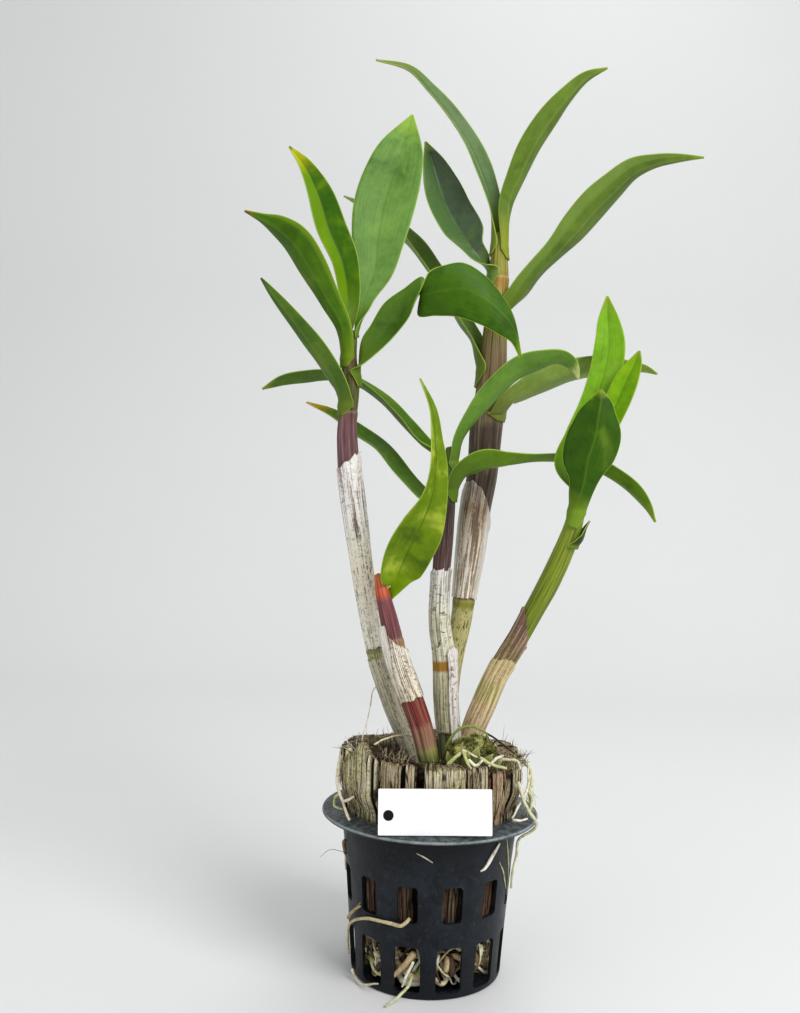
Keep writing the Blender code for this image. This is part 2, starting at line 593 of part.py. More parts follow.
def buildCanes(collection, cutters):
    """The five canes, and the cutters of the holes that they stand in."""
    colours = {"a": (0.30, 0.27, 0.20), "b": (0.42, 0.20, 0.12), "c": (0.30, 0.22, 0.18),
               "d": (0.26, 0.20, 0.13), "e": (0.22, 0.36, 0.07)}
    for cane, colour in colours.items():
        skin = material(f"cane_{cane}_skin", colour, 0.45)
        points, radii = caneStations(cane)
        tube(f"cane_{cane}", points, radii, skin, collection, CANE_SIDES_STEP)
        centre, direction, radius = caneAt(cane, CANES[cane][0][2])
        hole = [centre - direction * GAP]
        hole += [caneAt(cane, height)[0] for height in HOLE_HEIGHTS]
        cutter = tube(f"hole_{cane}", hole, [radius + HOLE_SPARE] * len(hole), skin, cutters,
                      CANE_SIDES_STEP)
        hideCutter(meshFromTube(cutter, cutters))


def frontTurned(tangent, turn):
    """Unit vector square to the tangent: at turn 0 the one nearest to the front."""
    front = np.array([0.0, -1.0, 0.0])
    front -= tangent * (front @ tangent)
    front /= np.linalg.norm(front)
    side = np.cross(tangent, front)
    return front * math.cos(math.radians(turn)) + side * math.sin(math.radians(turn))


def bladeTable(cane, foot, heading, wrap, clasp, channel, fold, stations):
    """Rows along the leaf: centre, half width, inner normal, bend, fold, centring."""
    angle = math.radians(heading)
    outward = np.array([math.cos(angle), math.sin(angle), 0.0])
    rows = []
    for height in (foot, foot + clasp):
        centre, direction, radius = caneAt(cane, height)
        away = outward - direction * (outward @ direction)
        away /= np.linalg.norm(away)
        ring = (radius + BLADE_GAP + 0.5 * BLADE) / math.cos(math.radians(wrap) / BLADE_ACROSS)
        rows.append([*(centre + away * ring), math.radians(wrap) * ring, *(-away),
                     math.radians(wrap), 0.0, 0.0])
    line = np.array([row[:3] for row in rows] + [station[:3] for station in stations], float)
    for index, (x, y, z, half, turn) in enumerate(stations):
        here = index + 2
        tangent = line[min(here + 1, len(line) - 1)] - line[here - 1]
        tangent /= np.linalg.norm(tangent)
        rows.append([x, y, z, half, *frontTurned(tangent, turn), math.radians(channel),
                     math.radians(fold), SECTION_CENTRE])
    return np.array(rows)


def bladeSurface(table, across, along):
    """Grid of points of a blade.

    The centre line runs smoothly through the rows. Each cross-section is an arc of the row's
    half width and bend, each half of it folded up about the midrib, and lowered so that the
    centre line lies amid its depth.
    """
    rows = smoothCurve(table, np.linspace(0.0, 1.0, along + 1))
    line = rows[:, :3]
    half = np.maximum(rows[:, 3], 0.6)[:, None]
    tangent = np.gradient(line, axis=0)
    tangent /= np.linalg.norm(tangent, axis=1)[:, None]
    normal = rows[:, 4:7] - tangent * np.sum(rows[:, 4:7] * tangent, axis=1)[:, None]
    normal /= np.linalg.norm(normal, axis=1)[:, None]
    side = np.cross(normal, tangent)
    u = np.linspace(-1.0, 1.0, across + 1)
    bend = np.maximum(rows[:, 7], 0.01)[:, None]
    radius = half / bend
    arc = np.abs(u)[None, :] * half / radius
    x = radius * np.sin(arc)
    y = radius * (1.0 - np.cos(arc))
    fold = rows[:, 8][:, None]
    x, y = x * np.cos(fold) - y * np.sin(fold), x * np.sin(fold) + y * np.cos(fold)
    y = y - np.clip(rows[:, 9], 0.0, 1.0)[:, None] * y[:, -1:]
    x = x * np.sign(u)[None, :]
    return (line[:, None, :] + x[:, :, None] * side[:, None, :]
            + y[:, :, None] * normal[:, None, :])


def twistedSurface(base, margins, across, along):
    """Grid of points of a blade given by its margins.

    Each row holds its middle, the vector from there to the near margin and the bulge of the
    middle, which is square to both the leaf's run and its width.
    """
    cane, foot, heading, wrap, clasp = base
    angle = math.radians(heading)
    outward = np.array([math.cos(angle), math.sin(angle), 0.0])
    rows = []
    for height in (foot, foot + clasp):
        centre, direction, radius = caneAt(cane, height)
        away = outward - direction * (outward @ direction)
        away /= np.linalg.norm(away)
        near = np.cross(away, direction)
        ring = (radius + 1.4 * BLADE_GAP + 0.5 * BLADE) / math.cos(math.radians(wrap) / across)
        middle = centre + away * ring * math.cos(math.radians(wrap))
        bulge = away * ring * (1.0 - math.cos(math.radians(wrap)))
        rows.append([*middle, *(near * ring * math.sin(math.radians(wrap))), *bulge])
    points = np.array(margins, float)
    middles = 0.5 * (points[:, :3] + points[:, 3:6])
    for index, middle in enumerate(middles):
        run = middles[min(index + 1, len(middles) - 1)] - middles[max(index - 1, 0)]
        half = 0.5 * (points[index, :3] - points[index, 3:6])
        square = np.cross(run, half)
        square /= np.linalg.norm(square)
        rows.append([*middle, *half, *(square * abs(points[index, 6]))])
    rows = smoothCurve(np.array(rows), np.linspace(0.0, 1.0, along + 1))
    u = np.linspace(1.0, -1.0, across + 1)[None, :, None]
    return (rows[:, None, :3] + u * rows[:, None, 3:6] + (1.0 - u * u) * rows[:, None, 6:9])


def sheetObject(name, grid, thickness, shade, collection):
    """Open sheet of triangles given its thickness on both sides alike."""
    rows, columns = grid.shape[:2]
    faces = []
    for row in range(rows - 1):
        for column in range(columns - 1):
            a = row * columns + column
            b = a + 1
            c = b + columns
            d = a + columns
            if column < (columns - 1) / 2:
                faces += [(a, b, c), (a, c, d)]
            else:
                faces += [(a, b, d), (b, c, d)]
    item = meshObject(name, grid.reshape(-1, 3), faces, shade, collection)
    wall = item.modifiers.new("Thickness", "SOLIDIFY")
    wall.thickness = thickness * MM
    wall.offset = 0.0
    return item


def buildLeaves(collection):
    for name, (cane, foot, heading, wrap, clasp, channel, fold, stations) in LEAVES.items():
        green = material(f"{name}_green", (0.13, 0.30, 0.05), 0.38)
        table = bladeTable(cane, foot, heading, wrap, clasp, channel, fold, stations)
        along = BLADE_ALONG if len(stations) > 3 else 6
        grid = bladeSurface(table, BLADE_ACROSS, along)
        sheetObject(name, grid, BLADE, green, collection)
    green = material(f"{TWISTED_LEAF}_green", (0.13, 0.30, 0.05), 0.38)
    grid = twistedSurface(TWISTED_BASE, TWISTED_MARGINS, BLADE_ACROSS, TWISTED_ALONG)
    sheetObject(TWISTED_LEAF, grid, BLADE, green, collection)


def sheathSurface(cane, low, high, slit, heading, slant, peak):
    """Grid of a dry sheath round its cane, open at a slit, with a slanting torn top."""
    around = 10
    rows = 6
    grid = np.zeros((rows, around + 1, 3))
    for row in range(rows):
        for column in range(around + 1):
            share = column / around
            angle = math.radians(heading + slit + share * (360.0 - 2.0 * slit))
            top = high + slant * math.cos(angle - math.radians(peak)) + math.sin(5.0 * angle)
            height = low + (top - low) * row / (rows - 1)
            centre, direction, radius = caneAt(cane, height)
            out = np.array([math.cos(angle), math.sin(angle), 0.0])
            out -= direction * (out @ direction)
            out /= np.linalg.norm(out)
            reach = radius + JOINT_SWELL + SHEATH_GAP + 0.5 * SHEATH
            grid[row, column] = centre + out * reach
    return grid


def buildSheaths(collection):
    paper = material("sheath_paper", (0.62, 0.60, 0.55), 0.6)
    straw = material("sheath_straw", (0.46, 0.34, 0.20), 0.6)
    for name, (cane, low, high, slit, heading, slant, peak) in SHEATHS.items():
        grid = sheathSurface(cane, low, high, slit, heading, slant, peak)
        sheetObject(name, grid, SHEATH, straw if cane == "e" else paper, collection)


def buildRoots(collection):
    pale = material("root_pale", (0.50, 0.44, 0.30), 0.7)
    for name, (radius, stations) in ROOTS.items():
        points = [polar(heading, reach, height) for heading, height, reach in stations]
        count = 3 * len(points) - 2
        path = smoothCurve(points, np.linspace(0.0, 1.0, count))
        slim = [radius * (1.0 - 0.35 * step / (count - 1)) for step in range(count)]
        tube(name, path, slim, pale, collection, 1)


def buildMoss(collection):
    """Low clump of moss between the front chunks and the canes."""
    green = material("moss_green", (0.20, 0.26, 0.06), 0.95)
    solid = bmesh.new()
    bmesh.ops.create_uvsphere(solid, u_segments=14, v_segments=8, radius=MM)
    for vertex in solid.verts:
        way = vertex.co / MM
        bump = 1.0 + 0.08 * math.sin(7.0 * way.x + 3.0 * way.z) + 0.07 * math.sin(9.0 * way.y)
        vertex.co = Vector((way.x * 11.5, way.y * 6.5, way.z * 5.5)) * bump * MM
    mesh = bpy.data.meshes.new("moss")
    solid.to_mesh(mesh)
    solid.free()
    mesh.materials.append(green)
    moss = bpy.data.objects.new("moss", mesh)
    moss.location = (18.5 * MM, -18.5 * MM, 110.0 * MM)
    moss.rotation_euler = (0.0, 0.0, math.radians(35.0))
    collection.objects.link(moss)


def main():
    clearScene()
    plant = newCollection("dendrobium_orchid")
    holes = newCollection("hole_cutters")
    buildPot(plant)
    buildTag(plant)
    husk = material("husk_fibre", (0.30, 0.21, 0.12), 0.9)
    for index in range(len(HUSKS)):
        buildHusk(index, plant, husk)
    buildCanes(plant, holes)
    buildRootBall(plant, holes)
    buildMoss(plant)
    buildRoots(plant)
    buildSheaths(plant)
    buildLeaves(plant)


main()
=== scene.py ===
import math

import bpy
import numpy as np
from mathutils import Matrix, Vector


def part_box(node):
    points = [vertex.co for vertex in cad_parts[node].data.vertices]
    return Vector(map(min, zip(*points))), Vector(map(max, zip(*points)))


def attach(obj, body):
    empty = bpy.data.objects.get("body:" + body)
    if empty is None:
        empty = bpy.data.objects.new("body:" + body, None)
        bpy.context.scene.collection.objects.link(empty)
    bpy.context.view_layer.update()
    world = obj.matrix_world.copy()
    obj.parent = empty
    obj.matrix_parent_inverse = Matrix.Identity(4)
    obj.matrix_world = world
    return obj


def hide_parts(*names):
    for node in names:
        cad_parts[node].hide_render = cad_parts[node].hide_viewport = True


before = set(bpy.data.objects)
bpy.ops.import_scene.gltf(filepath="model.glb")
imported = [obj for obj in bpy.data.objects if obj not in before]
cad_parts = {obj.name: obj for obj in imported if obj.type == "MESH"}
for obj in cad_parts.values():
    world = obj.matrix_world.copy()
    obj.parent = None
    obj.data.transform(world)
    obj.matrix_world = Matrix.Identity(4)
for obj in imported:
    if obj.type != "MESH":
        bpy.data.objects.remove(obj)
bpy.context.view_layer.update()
millimetre = 0.001

# Camera first: the photograph was taken level, 0.49 m in front of the pot's axis.
cameraSettings = {"place": (-0.0186, -0.490, 0.222), "lens": 35.893, "sensor": 36.0,
                  "nearest": 0.02, "roll": 1.66}


def addObject(name, data):
    made = bpy.data.objects.new(name, data)
    bpy.context.scene.collection.objects.link(made)
    return made


def addCamera(settings):
    data = bpy.data.cameras.new("camera")
    data.sensor_width = settings["sensor"]
    data.lens = settings["lens"]
    data.clip_start = settings["nearest"]
    camera = addObject("camera", data)
    turn = lambda degrees, axis: Matrix.Rotation(math.radians(degrees), 4, axis)
    camera.matrix_world = (Matrix.Translation(Vector(settings["place"])) @ turn(90.0, "X")
                           @ turn(settings["roll"], "Z"))
    bpy.context.scene.camera = camera


addCamera(cameraSettings)
print("camera placed")


# Colour written as screen values from 0 to 255, turned into the linear values that a shader takes.
def paint(red, green, blue):
    parts = [value / 255.0 for value in (red, green, blue)]
    return [value / 12.92 if value <= 0.04045 else ((value + 0.055) / 1.055) ** 2.4
            for value in parts] + [1.0]


# Even shares from 0 to 1.
def shares(count):
    return np.linspace(0.0, 1.0, count)


# The same vectors at a length of 1.
def unit(vectors):
    return vectors / np.maximum(np.linalg.norm(vectors, axis=-1, keepdims=True), 1e-9)


# Unit vectors square to a direction, nearest to the given ones.
def squareTo(vectors, direction):
    return unit(vectors - direction * np.sum(vectors * direction, axis=-1, keepdims=True))


# Vectors square to a grid of points: its run along the rows, crossed with that over the columns.
def crossed(grid):
    return np.cross(np.gradient(grid, axis=0), np.gradient(grid, axis=1))


# Points round the upright axis, the angle from +X.
def tubePoints(angle, reach, height):
    return np.stack(np.broadcast_arrays(reach * np.cos(angle), reach * np.sin(angle), height), -1)


# Smooth random value from -1 to 1 at each point: random corners of a lattice of the given cell
# size, blended with eased weights.
def softNoise(points, size, seed=0):
    spot = np.asarray(points, float) / size + 17.3 * seed
    low = np.floor(spot).astype(np.int64)
    ease = spot - low
    ease = ease * ease * (3.0 - 2.0 * ease)
    total = np.zeros(spot.shape[:-1])
    for corner in range(8):
        step = np.array([corner & 1, corner >> 1 & 1, corner >> 2 & 1])
        cell = low + step
        code = (cell[..., 0] * 73856093) ^ (cell[..., 1] * 19349663) ^ (cell[..., 2] * 83492791)
        code = ((code ^ (code >> 13)) * 1274126177) & 0x7FFFFFFF
        share = np.prod(np.where(step == 1, ease, 1.0 - ease), axis=-1)
        total += share * (code / 0x3FFFFFFF - 1.0)
    return total


# Value that eases from 0 to 1 as it goes from low to high.
def easeBetween(value, low, high):
    share = np.clip((value - low) / (high - low), 0.0, 1.0)
    return share * share * (3.0 - 2.0 * share)


# Corner numbers of the four-cornered faces of a grid, closed round each row where wrap is true.
def gridFaces(rows, columns, wrap=False):
    row = np.arange(rows - 1)[:, None]
    column = np.arange(columns if wrap else columns - 1)[None, :]
    after = (column + 1) % columns
    low = row * columns
    high = low + columns
    return np.stack([low + column, low + after, high + after, high + column], -1).reshape(-1, 4)


# Volume inside the faces by the sum of signed tetrahedra: below zero where they face inwards.
def signedVolume(points, faceSets):
    total = 0.0
    for faces in faceSets:
        for corner in range(1, faces.shape[1] - 1):
            first = points[faces[:, 0]]
            second = points[faces[:, corner]]
            third = points[faces[:, corner + 1]]
            total += np.sum(first * np.cross(second, third)) / 6.0
    return total


# A mesh from points in millimetres, its faces turned outwards.
def meshOf(name, points, faceSets):
    points = np.asarray(points, float)
    if signedVolume(points, faceSets) < 0.0:
        faceSets = [faces[:, ::-1] for faces in faceSets]
    corners = np.concatenate([faces.ravel() for faces in faceSets]).astype(np.int32)
    counts = np.concatenate([np.full(len(faces), faces.shape[1]) for faces in faceSets])
    starts = np.concatenate([[0], np.cumsum(counts)[:-1]]).astype(np.int32)
    mesh = bpy.data.meshes.new(name)
    mesh.vertices.add(len(points))
    mesh.vertices.foreach_set("co", (points * millimetre).astype(np.float32).ravel())
    mesh.loops.add(len(corners))
    mesh.loops.foreach_set("vertex_index", corners)
    mesh.polygons.add(len(counts))
    mesh.polygons.foreach_set("loop_start", starts)
    mesh.update(calc_edges=True)
    return mesh


# A piece of the object from its shape (points, face sets, marks), with its shade and the nodes
# that it replaces.
def addPiece(name, shape, look, nodes):
    points, faceSets, marks = shape
    mesh = meshOf(name, points, faceSets)
    for key, values in marks.items():
        layer = mesh.attributes.new(key, "FLOAT", "POINT")
        layer.data.foreach_set("value", np.asarray(values, np.float32).ravel())
    mesh.materials.append(look)
    mesh.shade_smooth()
    piece = addObject(name, mesh)
    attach(piece, "root")
    if nodes:
        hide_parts(*nodes)


# Several closed shapes as one: each is its points, its face sets and its marks.
def joinShapes(shapes):
    points = []
    quads = []
    triangles = []
    marks = {}
    offset = 0
    for shapePoints, faceSets, shapeMarks in shapes:
        if signedVolume(shapePoints, faceSets) < 0.0:
            faceSets = [faces[:, ::-1] for faces in faceSets]
        points.append(shapePoints)
        for faces in faceSets:
            (quads if faces.shape[1] == 4 else triangles).append(faces + offset)
        for key, values in shapeMarks.items():
            marks.setdefault(key, []).append(np.ravel(values))
        offset += len(shapePoints)
    faceSets = [np.concatenate(faces) for faces in (quads, triangles) if faces]
    return (np.concatenate(points), faceSets,
            {key: np.concatenate(values) for key, values in marks.items()})


# Closed sheet from a grid of points: its two faces stand half the thickness off the grid along
# its normal, and a rim joins them all round.
def thickSheet(grid, thickness, marks):
    rows, columns = grid.shape[:2]
    lift = 0.5 * np.broadcast_to(thickness, grid.shape[:2])[:, :, None] * unit(crossed(grid))
    ring = np.concatenate([grid + lift, (grid - lift)[:, ::-1]], axis=1)
    faces = gridFaces(rows, 2 * columns, True)
    index = np.arange(columns - 1)
    start = np.stack([index + 1, index, 2 * columns - 1 - index, 2 * columns - 2 - index], -1)
    last = (rows - 1) * 2 * columns
    end = np.stack([index, index + 1, 2 * columns - 2 - index, 2 * columns - 1 - index], -1) + last
    both = {key: np.concatenate([value, value[:, ::-1]], axis=1) for key, value in marks.items()}
    both["back"] = np.repeat([0.0, 1.0], columns)[None, :] + np.zeros((rows, 1))
    return ring.reshape(-1, 3), [np.concatenate([faces, start, end])], both


# Closed shape from rings of points, one after the other, with a point at each end.
def closedRings(rings, first, final):
    rows, sides = rings.shape[:2]
    count = rows * sides
    side = np.arange(sides)
    after = (side + 1) % sides
    low = np.stack([after, side, np.full(sides, count)], -1)
    high = np.stack([side + count - sides, after + count - sides, np.full(sides, count + 1)], -1)
    return (np.concatenate([rings.reshape(-1, 3), [first, final]]),
            [gridFaces(rows, sides, True), np.concatenate([low, high])])


# Closed round tube along a path: rings square to its run, carried on without twisting, and a
# point at each end.
def tubeShape(path, radii, sides, tone=None):
    radii = np.broadcast_to(radii, len(path)).astype(float)
    run = unit(np.gradient(path, axis=0))
    across = np.cross(run[0], (0.31, 0.17, 0.93))
    if np.linalg.norm(across) < 0.1:
        across = np.cross(run[0], (0.9, 0.2, 0.1))
    sideways = np.zeros_like(run)
    for index, direction in enumerate(run):
        across = squareTo(across, direction)
        sideways[index] = across
    upward = np.cross(run, sideways)
    turn = 2.0 * np.pi * np.arange(sides)[None, :, None] / sides
    ring = np.cos(turn) * sideways[:, None, :] + np.sin(turn) * upward[:, None, :]
    points, faceSets = closedRings(path[:, None, :] + ring * radii[:, None, None],
                                   path[0] - run[0] * radii[0] * 0.6,
                                   path[-1] + run[-1] * radii[-1] * 0.6)
    marks = {} if tone is None else {"tone": np.full(len(points), float(tone))}
    return points, faceSets, marks


# The path with a smooth random drift.
def swayed(path, amount, size, seed):
    return path + amount * np.stack([softNoise(path, size, seed + step) for step in range(3)], -1)


# Smooth curve through stations, read at places from 0 to 1: each span is a cubic whose slopes
# are those of the chord between the stations on both sides.
def smoothCurve(stations, places):
    rows = np.asarray(stations, float)
    chord = np.linalg.norm(np.diff(rows[:, :3], axis=0), axis=1) ** 0.8
    knots = np.concatenate([[0.0], np.cumsum(chord)])
    knots /= knots[-1]
    slopes = np.gradient(rows, knots, axis=0)
    slopes[1:-1] = (rows[2:] - rows[:-2]) / (knots[2:] - knots[:-2])[:, None]
    at = np.clip(np.searchsorted(knots, places) - 1, 0, len(rows) - 2)
    span = (knots[at + 1] - knots[at])[:, None]
    t = (np.asarray(places) - knots[at])[:, None] / span
    return ((2 * t**3 - 3 * t**2 + 1) * rows[at] + (t**3 - 2 * t**2 + t) * span * slopes[at]
            + (3 * t**2 - 2 * t**3) * rows[at + 1] + (t**3 - t**2) * span * slopes[at + 1])


# Point at a heading from the front towards +X, in millimetres.
def polar(heading, radius, height):
    angle = np.radians(heading)
    heading, radius, height = np.broadcast_arrays(angle, radius, height)
    return np.stack([radius * np.sin(heading), -radius * np.cos(heading), height], -1)


# The shade that is being made: its material, its tree of nodes and its surface node.
current = {}


# Gives a node's socket a value, a colour in screen values, or the outcome of another node.
def put(value, socket):
    if isinstance(value, bpy.types.NodeSocket):
        current["tree"].links.new(value, socket)
    else:
        socket.default_value = paint(*value) if socket.type == "RGBA" else value


def newShade(name, roughness):
    material = bpy.data.materials.new(name)
    material.use_nodes = True
    tree = material.node_tree
    current.update(material=material, tree=tree, body=tree.nodes["Principled BSDF"])
    put(roughness, current["body"].inputs["Roughness"])


# Short names for the shader nodes: each makes one node, with its settings and inputs, and gives
# the socket that it ends in.
def node(kind, inputs=None, **settings):
    made = current["tree"].nodes.new("ShaderNode" + kind)
    for key, value in settings.items():
        setattr(made, key, value)
    for key, value in (inputs or {}).items():
        put(value, made.inputs[key])
    return made


# Ends the shade: colour, shine, a bump from the relief, its distance in metres, and roughness.
def finishShade(colour, shine, relief=None, distance=0.0, strength=1.0, rough=None):
    body = current["body"]
    put(colour, body.inputs["Base Color"])
    put(shine, body.inputs["Specular IOR Level"])
    if rough is not None:
        put(rough, body.inputs["Roughness"])
    if relief is not None:
        bump = node("Bump", {"Strength": strength, "Distance": distance, "Height": relief})
        put(bump.outputs[0], body.inputs["Normal"])
    return current["material"]


# A piece's own mark, such as the height along it.
def mark(name):
    return node("Attribute", attribute_name=name).outputs["Fac"]


def place():
    return node("TexCoord").outputs["Object"]


def scaled(vector, factors):
    return node("VectorMath", {0: vector, 1: factors}, operation="MULTIPLY").outputs[0]


def joined(x, y, z):
    return node("CombineXYZ", {0: x, 1: y, 2: z}).outputs[0]


def parted(vector):
    return node("SeparateXYZ", {0: vector}).outputs


def noise(vector, scale, detail=3.0, rough=0.55, bend=0.0):
    return node("TexNoise", {"Vector": vector, "Scale": scale, "Detail": detail,
                             "Roughness": rough, "Distortion": bend}).outputs[0]


# Distance to the nearest border of random cells.
def borders(vector):
    return node("TexVoronoi", {"Vector": vector, "Scale": 1.0},
                feature="DISTANCE_TO_EDGE").outputs[0]


def maths(operation, first, second=0.0):
    return node("Math", {0: first, 1: second}, operation=operation).outputs[0]


def plus(first, second):
    return maths("ADD", first, second)


def minus(first, second):
    return maths("SUBTRACT", first, second)


def times(first, second):
    return maths("MULTIPLY", first, second)


# Distance from two measures: the root of x * x + y * y.
def reachOf(x, y):
    return maths("SQRT", plus(times(x, x), times(y, y)))


# Value from start to end, eased, as another goes from low to high.
def between(value, low, high, start=0.0, end=1.0):
    inputs = dict(enumerate((value, low, high, start, end)))
    return node("MapRange", inputs, interpolation_type="SMOOTHSTEP").outputs[0]


def blend(share, first, second, kind="MIX"):
    return node("Mix", {0: share, 6: first, 7: second}, data_type="RGBA",
                blend_type=kind).outputs[2]


# The colour multiplied by a tone, where the share is high.
def darken(share, colour, tone):
    return blend(share, colour, blend(1.0, colour, tone, "MULTIPLY"))


def ramp(value, stops):
    made = node("ValToRGB", {0: value})
    band = made.color_ramp.elements
    while len(band) < len(stops):
        band.new(0.5)
    for element, (position, colour) in zip(band, stops):
        element.position = position
        element.color = paint(*colour)
    return made.outputs[0]


# Place on a round stem: its "around" and "height" marks as a point of a tube, so that a pattern
# closes round the stem; a small rise draws the pattern out along it.
def wound(reach, rise, shift=0.0):
    turn = times(mark("around"), 2.0 * math.pi)
    return joined(times(maths("COSINE", turn), reach), times(maths("SINE", turn), reach),
                  plus(times(mark("height"), rise), shift))


# Loose net of fibres on a round stem: the borders of two layers of long cells.
def fibreNet(thin=0.05, thick=0.17):
    layers = []
    for reach, rise, shift in ((3.4, 0.13, 0.0), (4.6, 0.2, 5.3)):
        drift = times(noise(place(), 230.0, 2.0), 2.2)
        bent = node("VectorMath", {0: wound(reach, rise, shift), 1: joined(drift, drift, 0.0)},
                    operation="ADD")
        layers.append(between(borders(bent.outputs[0]), thin, thick, 1.0, 0.0))
    return maths("MAXIMUM", *layers)


# Canes, base to tip: (x, y, z, radius), as the solids have them.
caneRows = {
    "a": [(-6, 2, 96, 5.0), (-11, 2, 109, 5.2), (-19.2, 2, 128, 5.4), (-27, 1, 150, 5.3),
        (-32.8, 0, 174, 4.9), (-37, -1, 196, 5.0), (-40, -2, 215, 5.4), (-43, -3, 234, 5.5),
        (-45, -3, 253, 5.0), (-45, -3, 265, 4.4), (-44, -4, 280, 4.1), (-45, -4, 292, 3.5),
        (-44, -4, 303, 2.3), (-44, -4, 306, 1.8)],
    "b": [(0.4, -18, 96, 4.6), (-2, -18, 105, 4.9), (-6, -18, 120, 5.2), (-12.2, -17, 136, 5.4),
        (-18.2, -16, 152, 5.0), (-22.4, -15, 169, 4.2), (-26, -14, 182, 3.2),
        (-28, -14, 190, 2.0)],
    "c": [(9, -2, 96, 4.6), (8, -2, 110, 4.8), (6, -2, 129, 5.0), (5, -2, 148, 5.0),
        (2, -2, 168, 4.4), (2, -2, 187, 4.2), (3, -1, 206, 4.5), (4, 0, 226, 4.2),
        (5, 0, 240, 3.6), (5, 1, 252, 2.0)],
    "d": [(8, 14, 96, 3.6), (8.4, 14, 115, 3.9), (9.2, 14, 135, 4.3), (11, 14, 152, 4.9),
        (13.6, 14, 167, 5.3), (15, 14, 181, 5.6), (17, 14, 200, 6.7), (19, 14, 220, 7.3),
        (22, 14, 241, 7.6), (23, 13, 261, 8.1), (25, 13, 281, 7.6), (26, 13, 306, 6.2),
        (27, 12, 326, 5.2), (27, 12, 345, 4.4), (27, 12, 360, 2.2)],
    "e": [(17.6, 6, 96, 4.4), (20, 6, 112, 4.7), (25, 5, 126, 5.0), (32, 4, 143, 4.8),
        (41.3, 2, 160, 4.7), (48.6, 0, 175, 4.9), (54.3, -2, 187, 5.1), (60, -4, 201, 4.9),
        (64, -6, 213, 4.4), (66.5, -8, 225, 3.6), (68, -9, 238, 2.0)],
}
caneJoints = {"a": [152, 266], "b": [158], "c": [147], "d": [175.5, 316, 336], "e": [147]}
caneCurves = {cane: smoothCurve(rows, shares(481)) for cane, rows in caneRows.items()}


# Centre, direction and radius of a cane at one height or at many.
def caneAt(cane, height):
    fine = caneCurves[cane]
    height = np.asarray(height, float)
    read = lambda level, axis: np.interp(level, fine[:, 2], fine[:, axis])
    centre = np.stack([read(height, axis) for axis in range(3)], -1)
    ahead = np.stack([read(height + 2.0, axis) - read(height - 2.0, axis) for axis in range(3)],
                     -1)
    return centre, unit(ahead), read(height, 3)


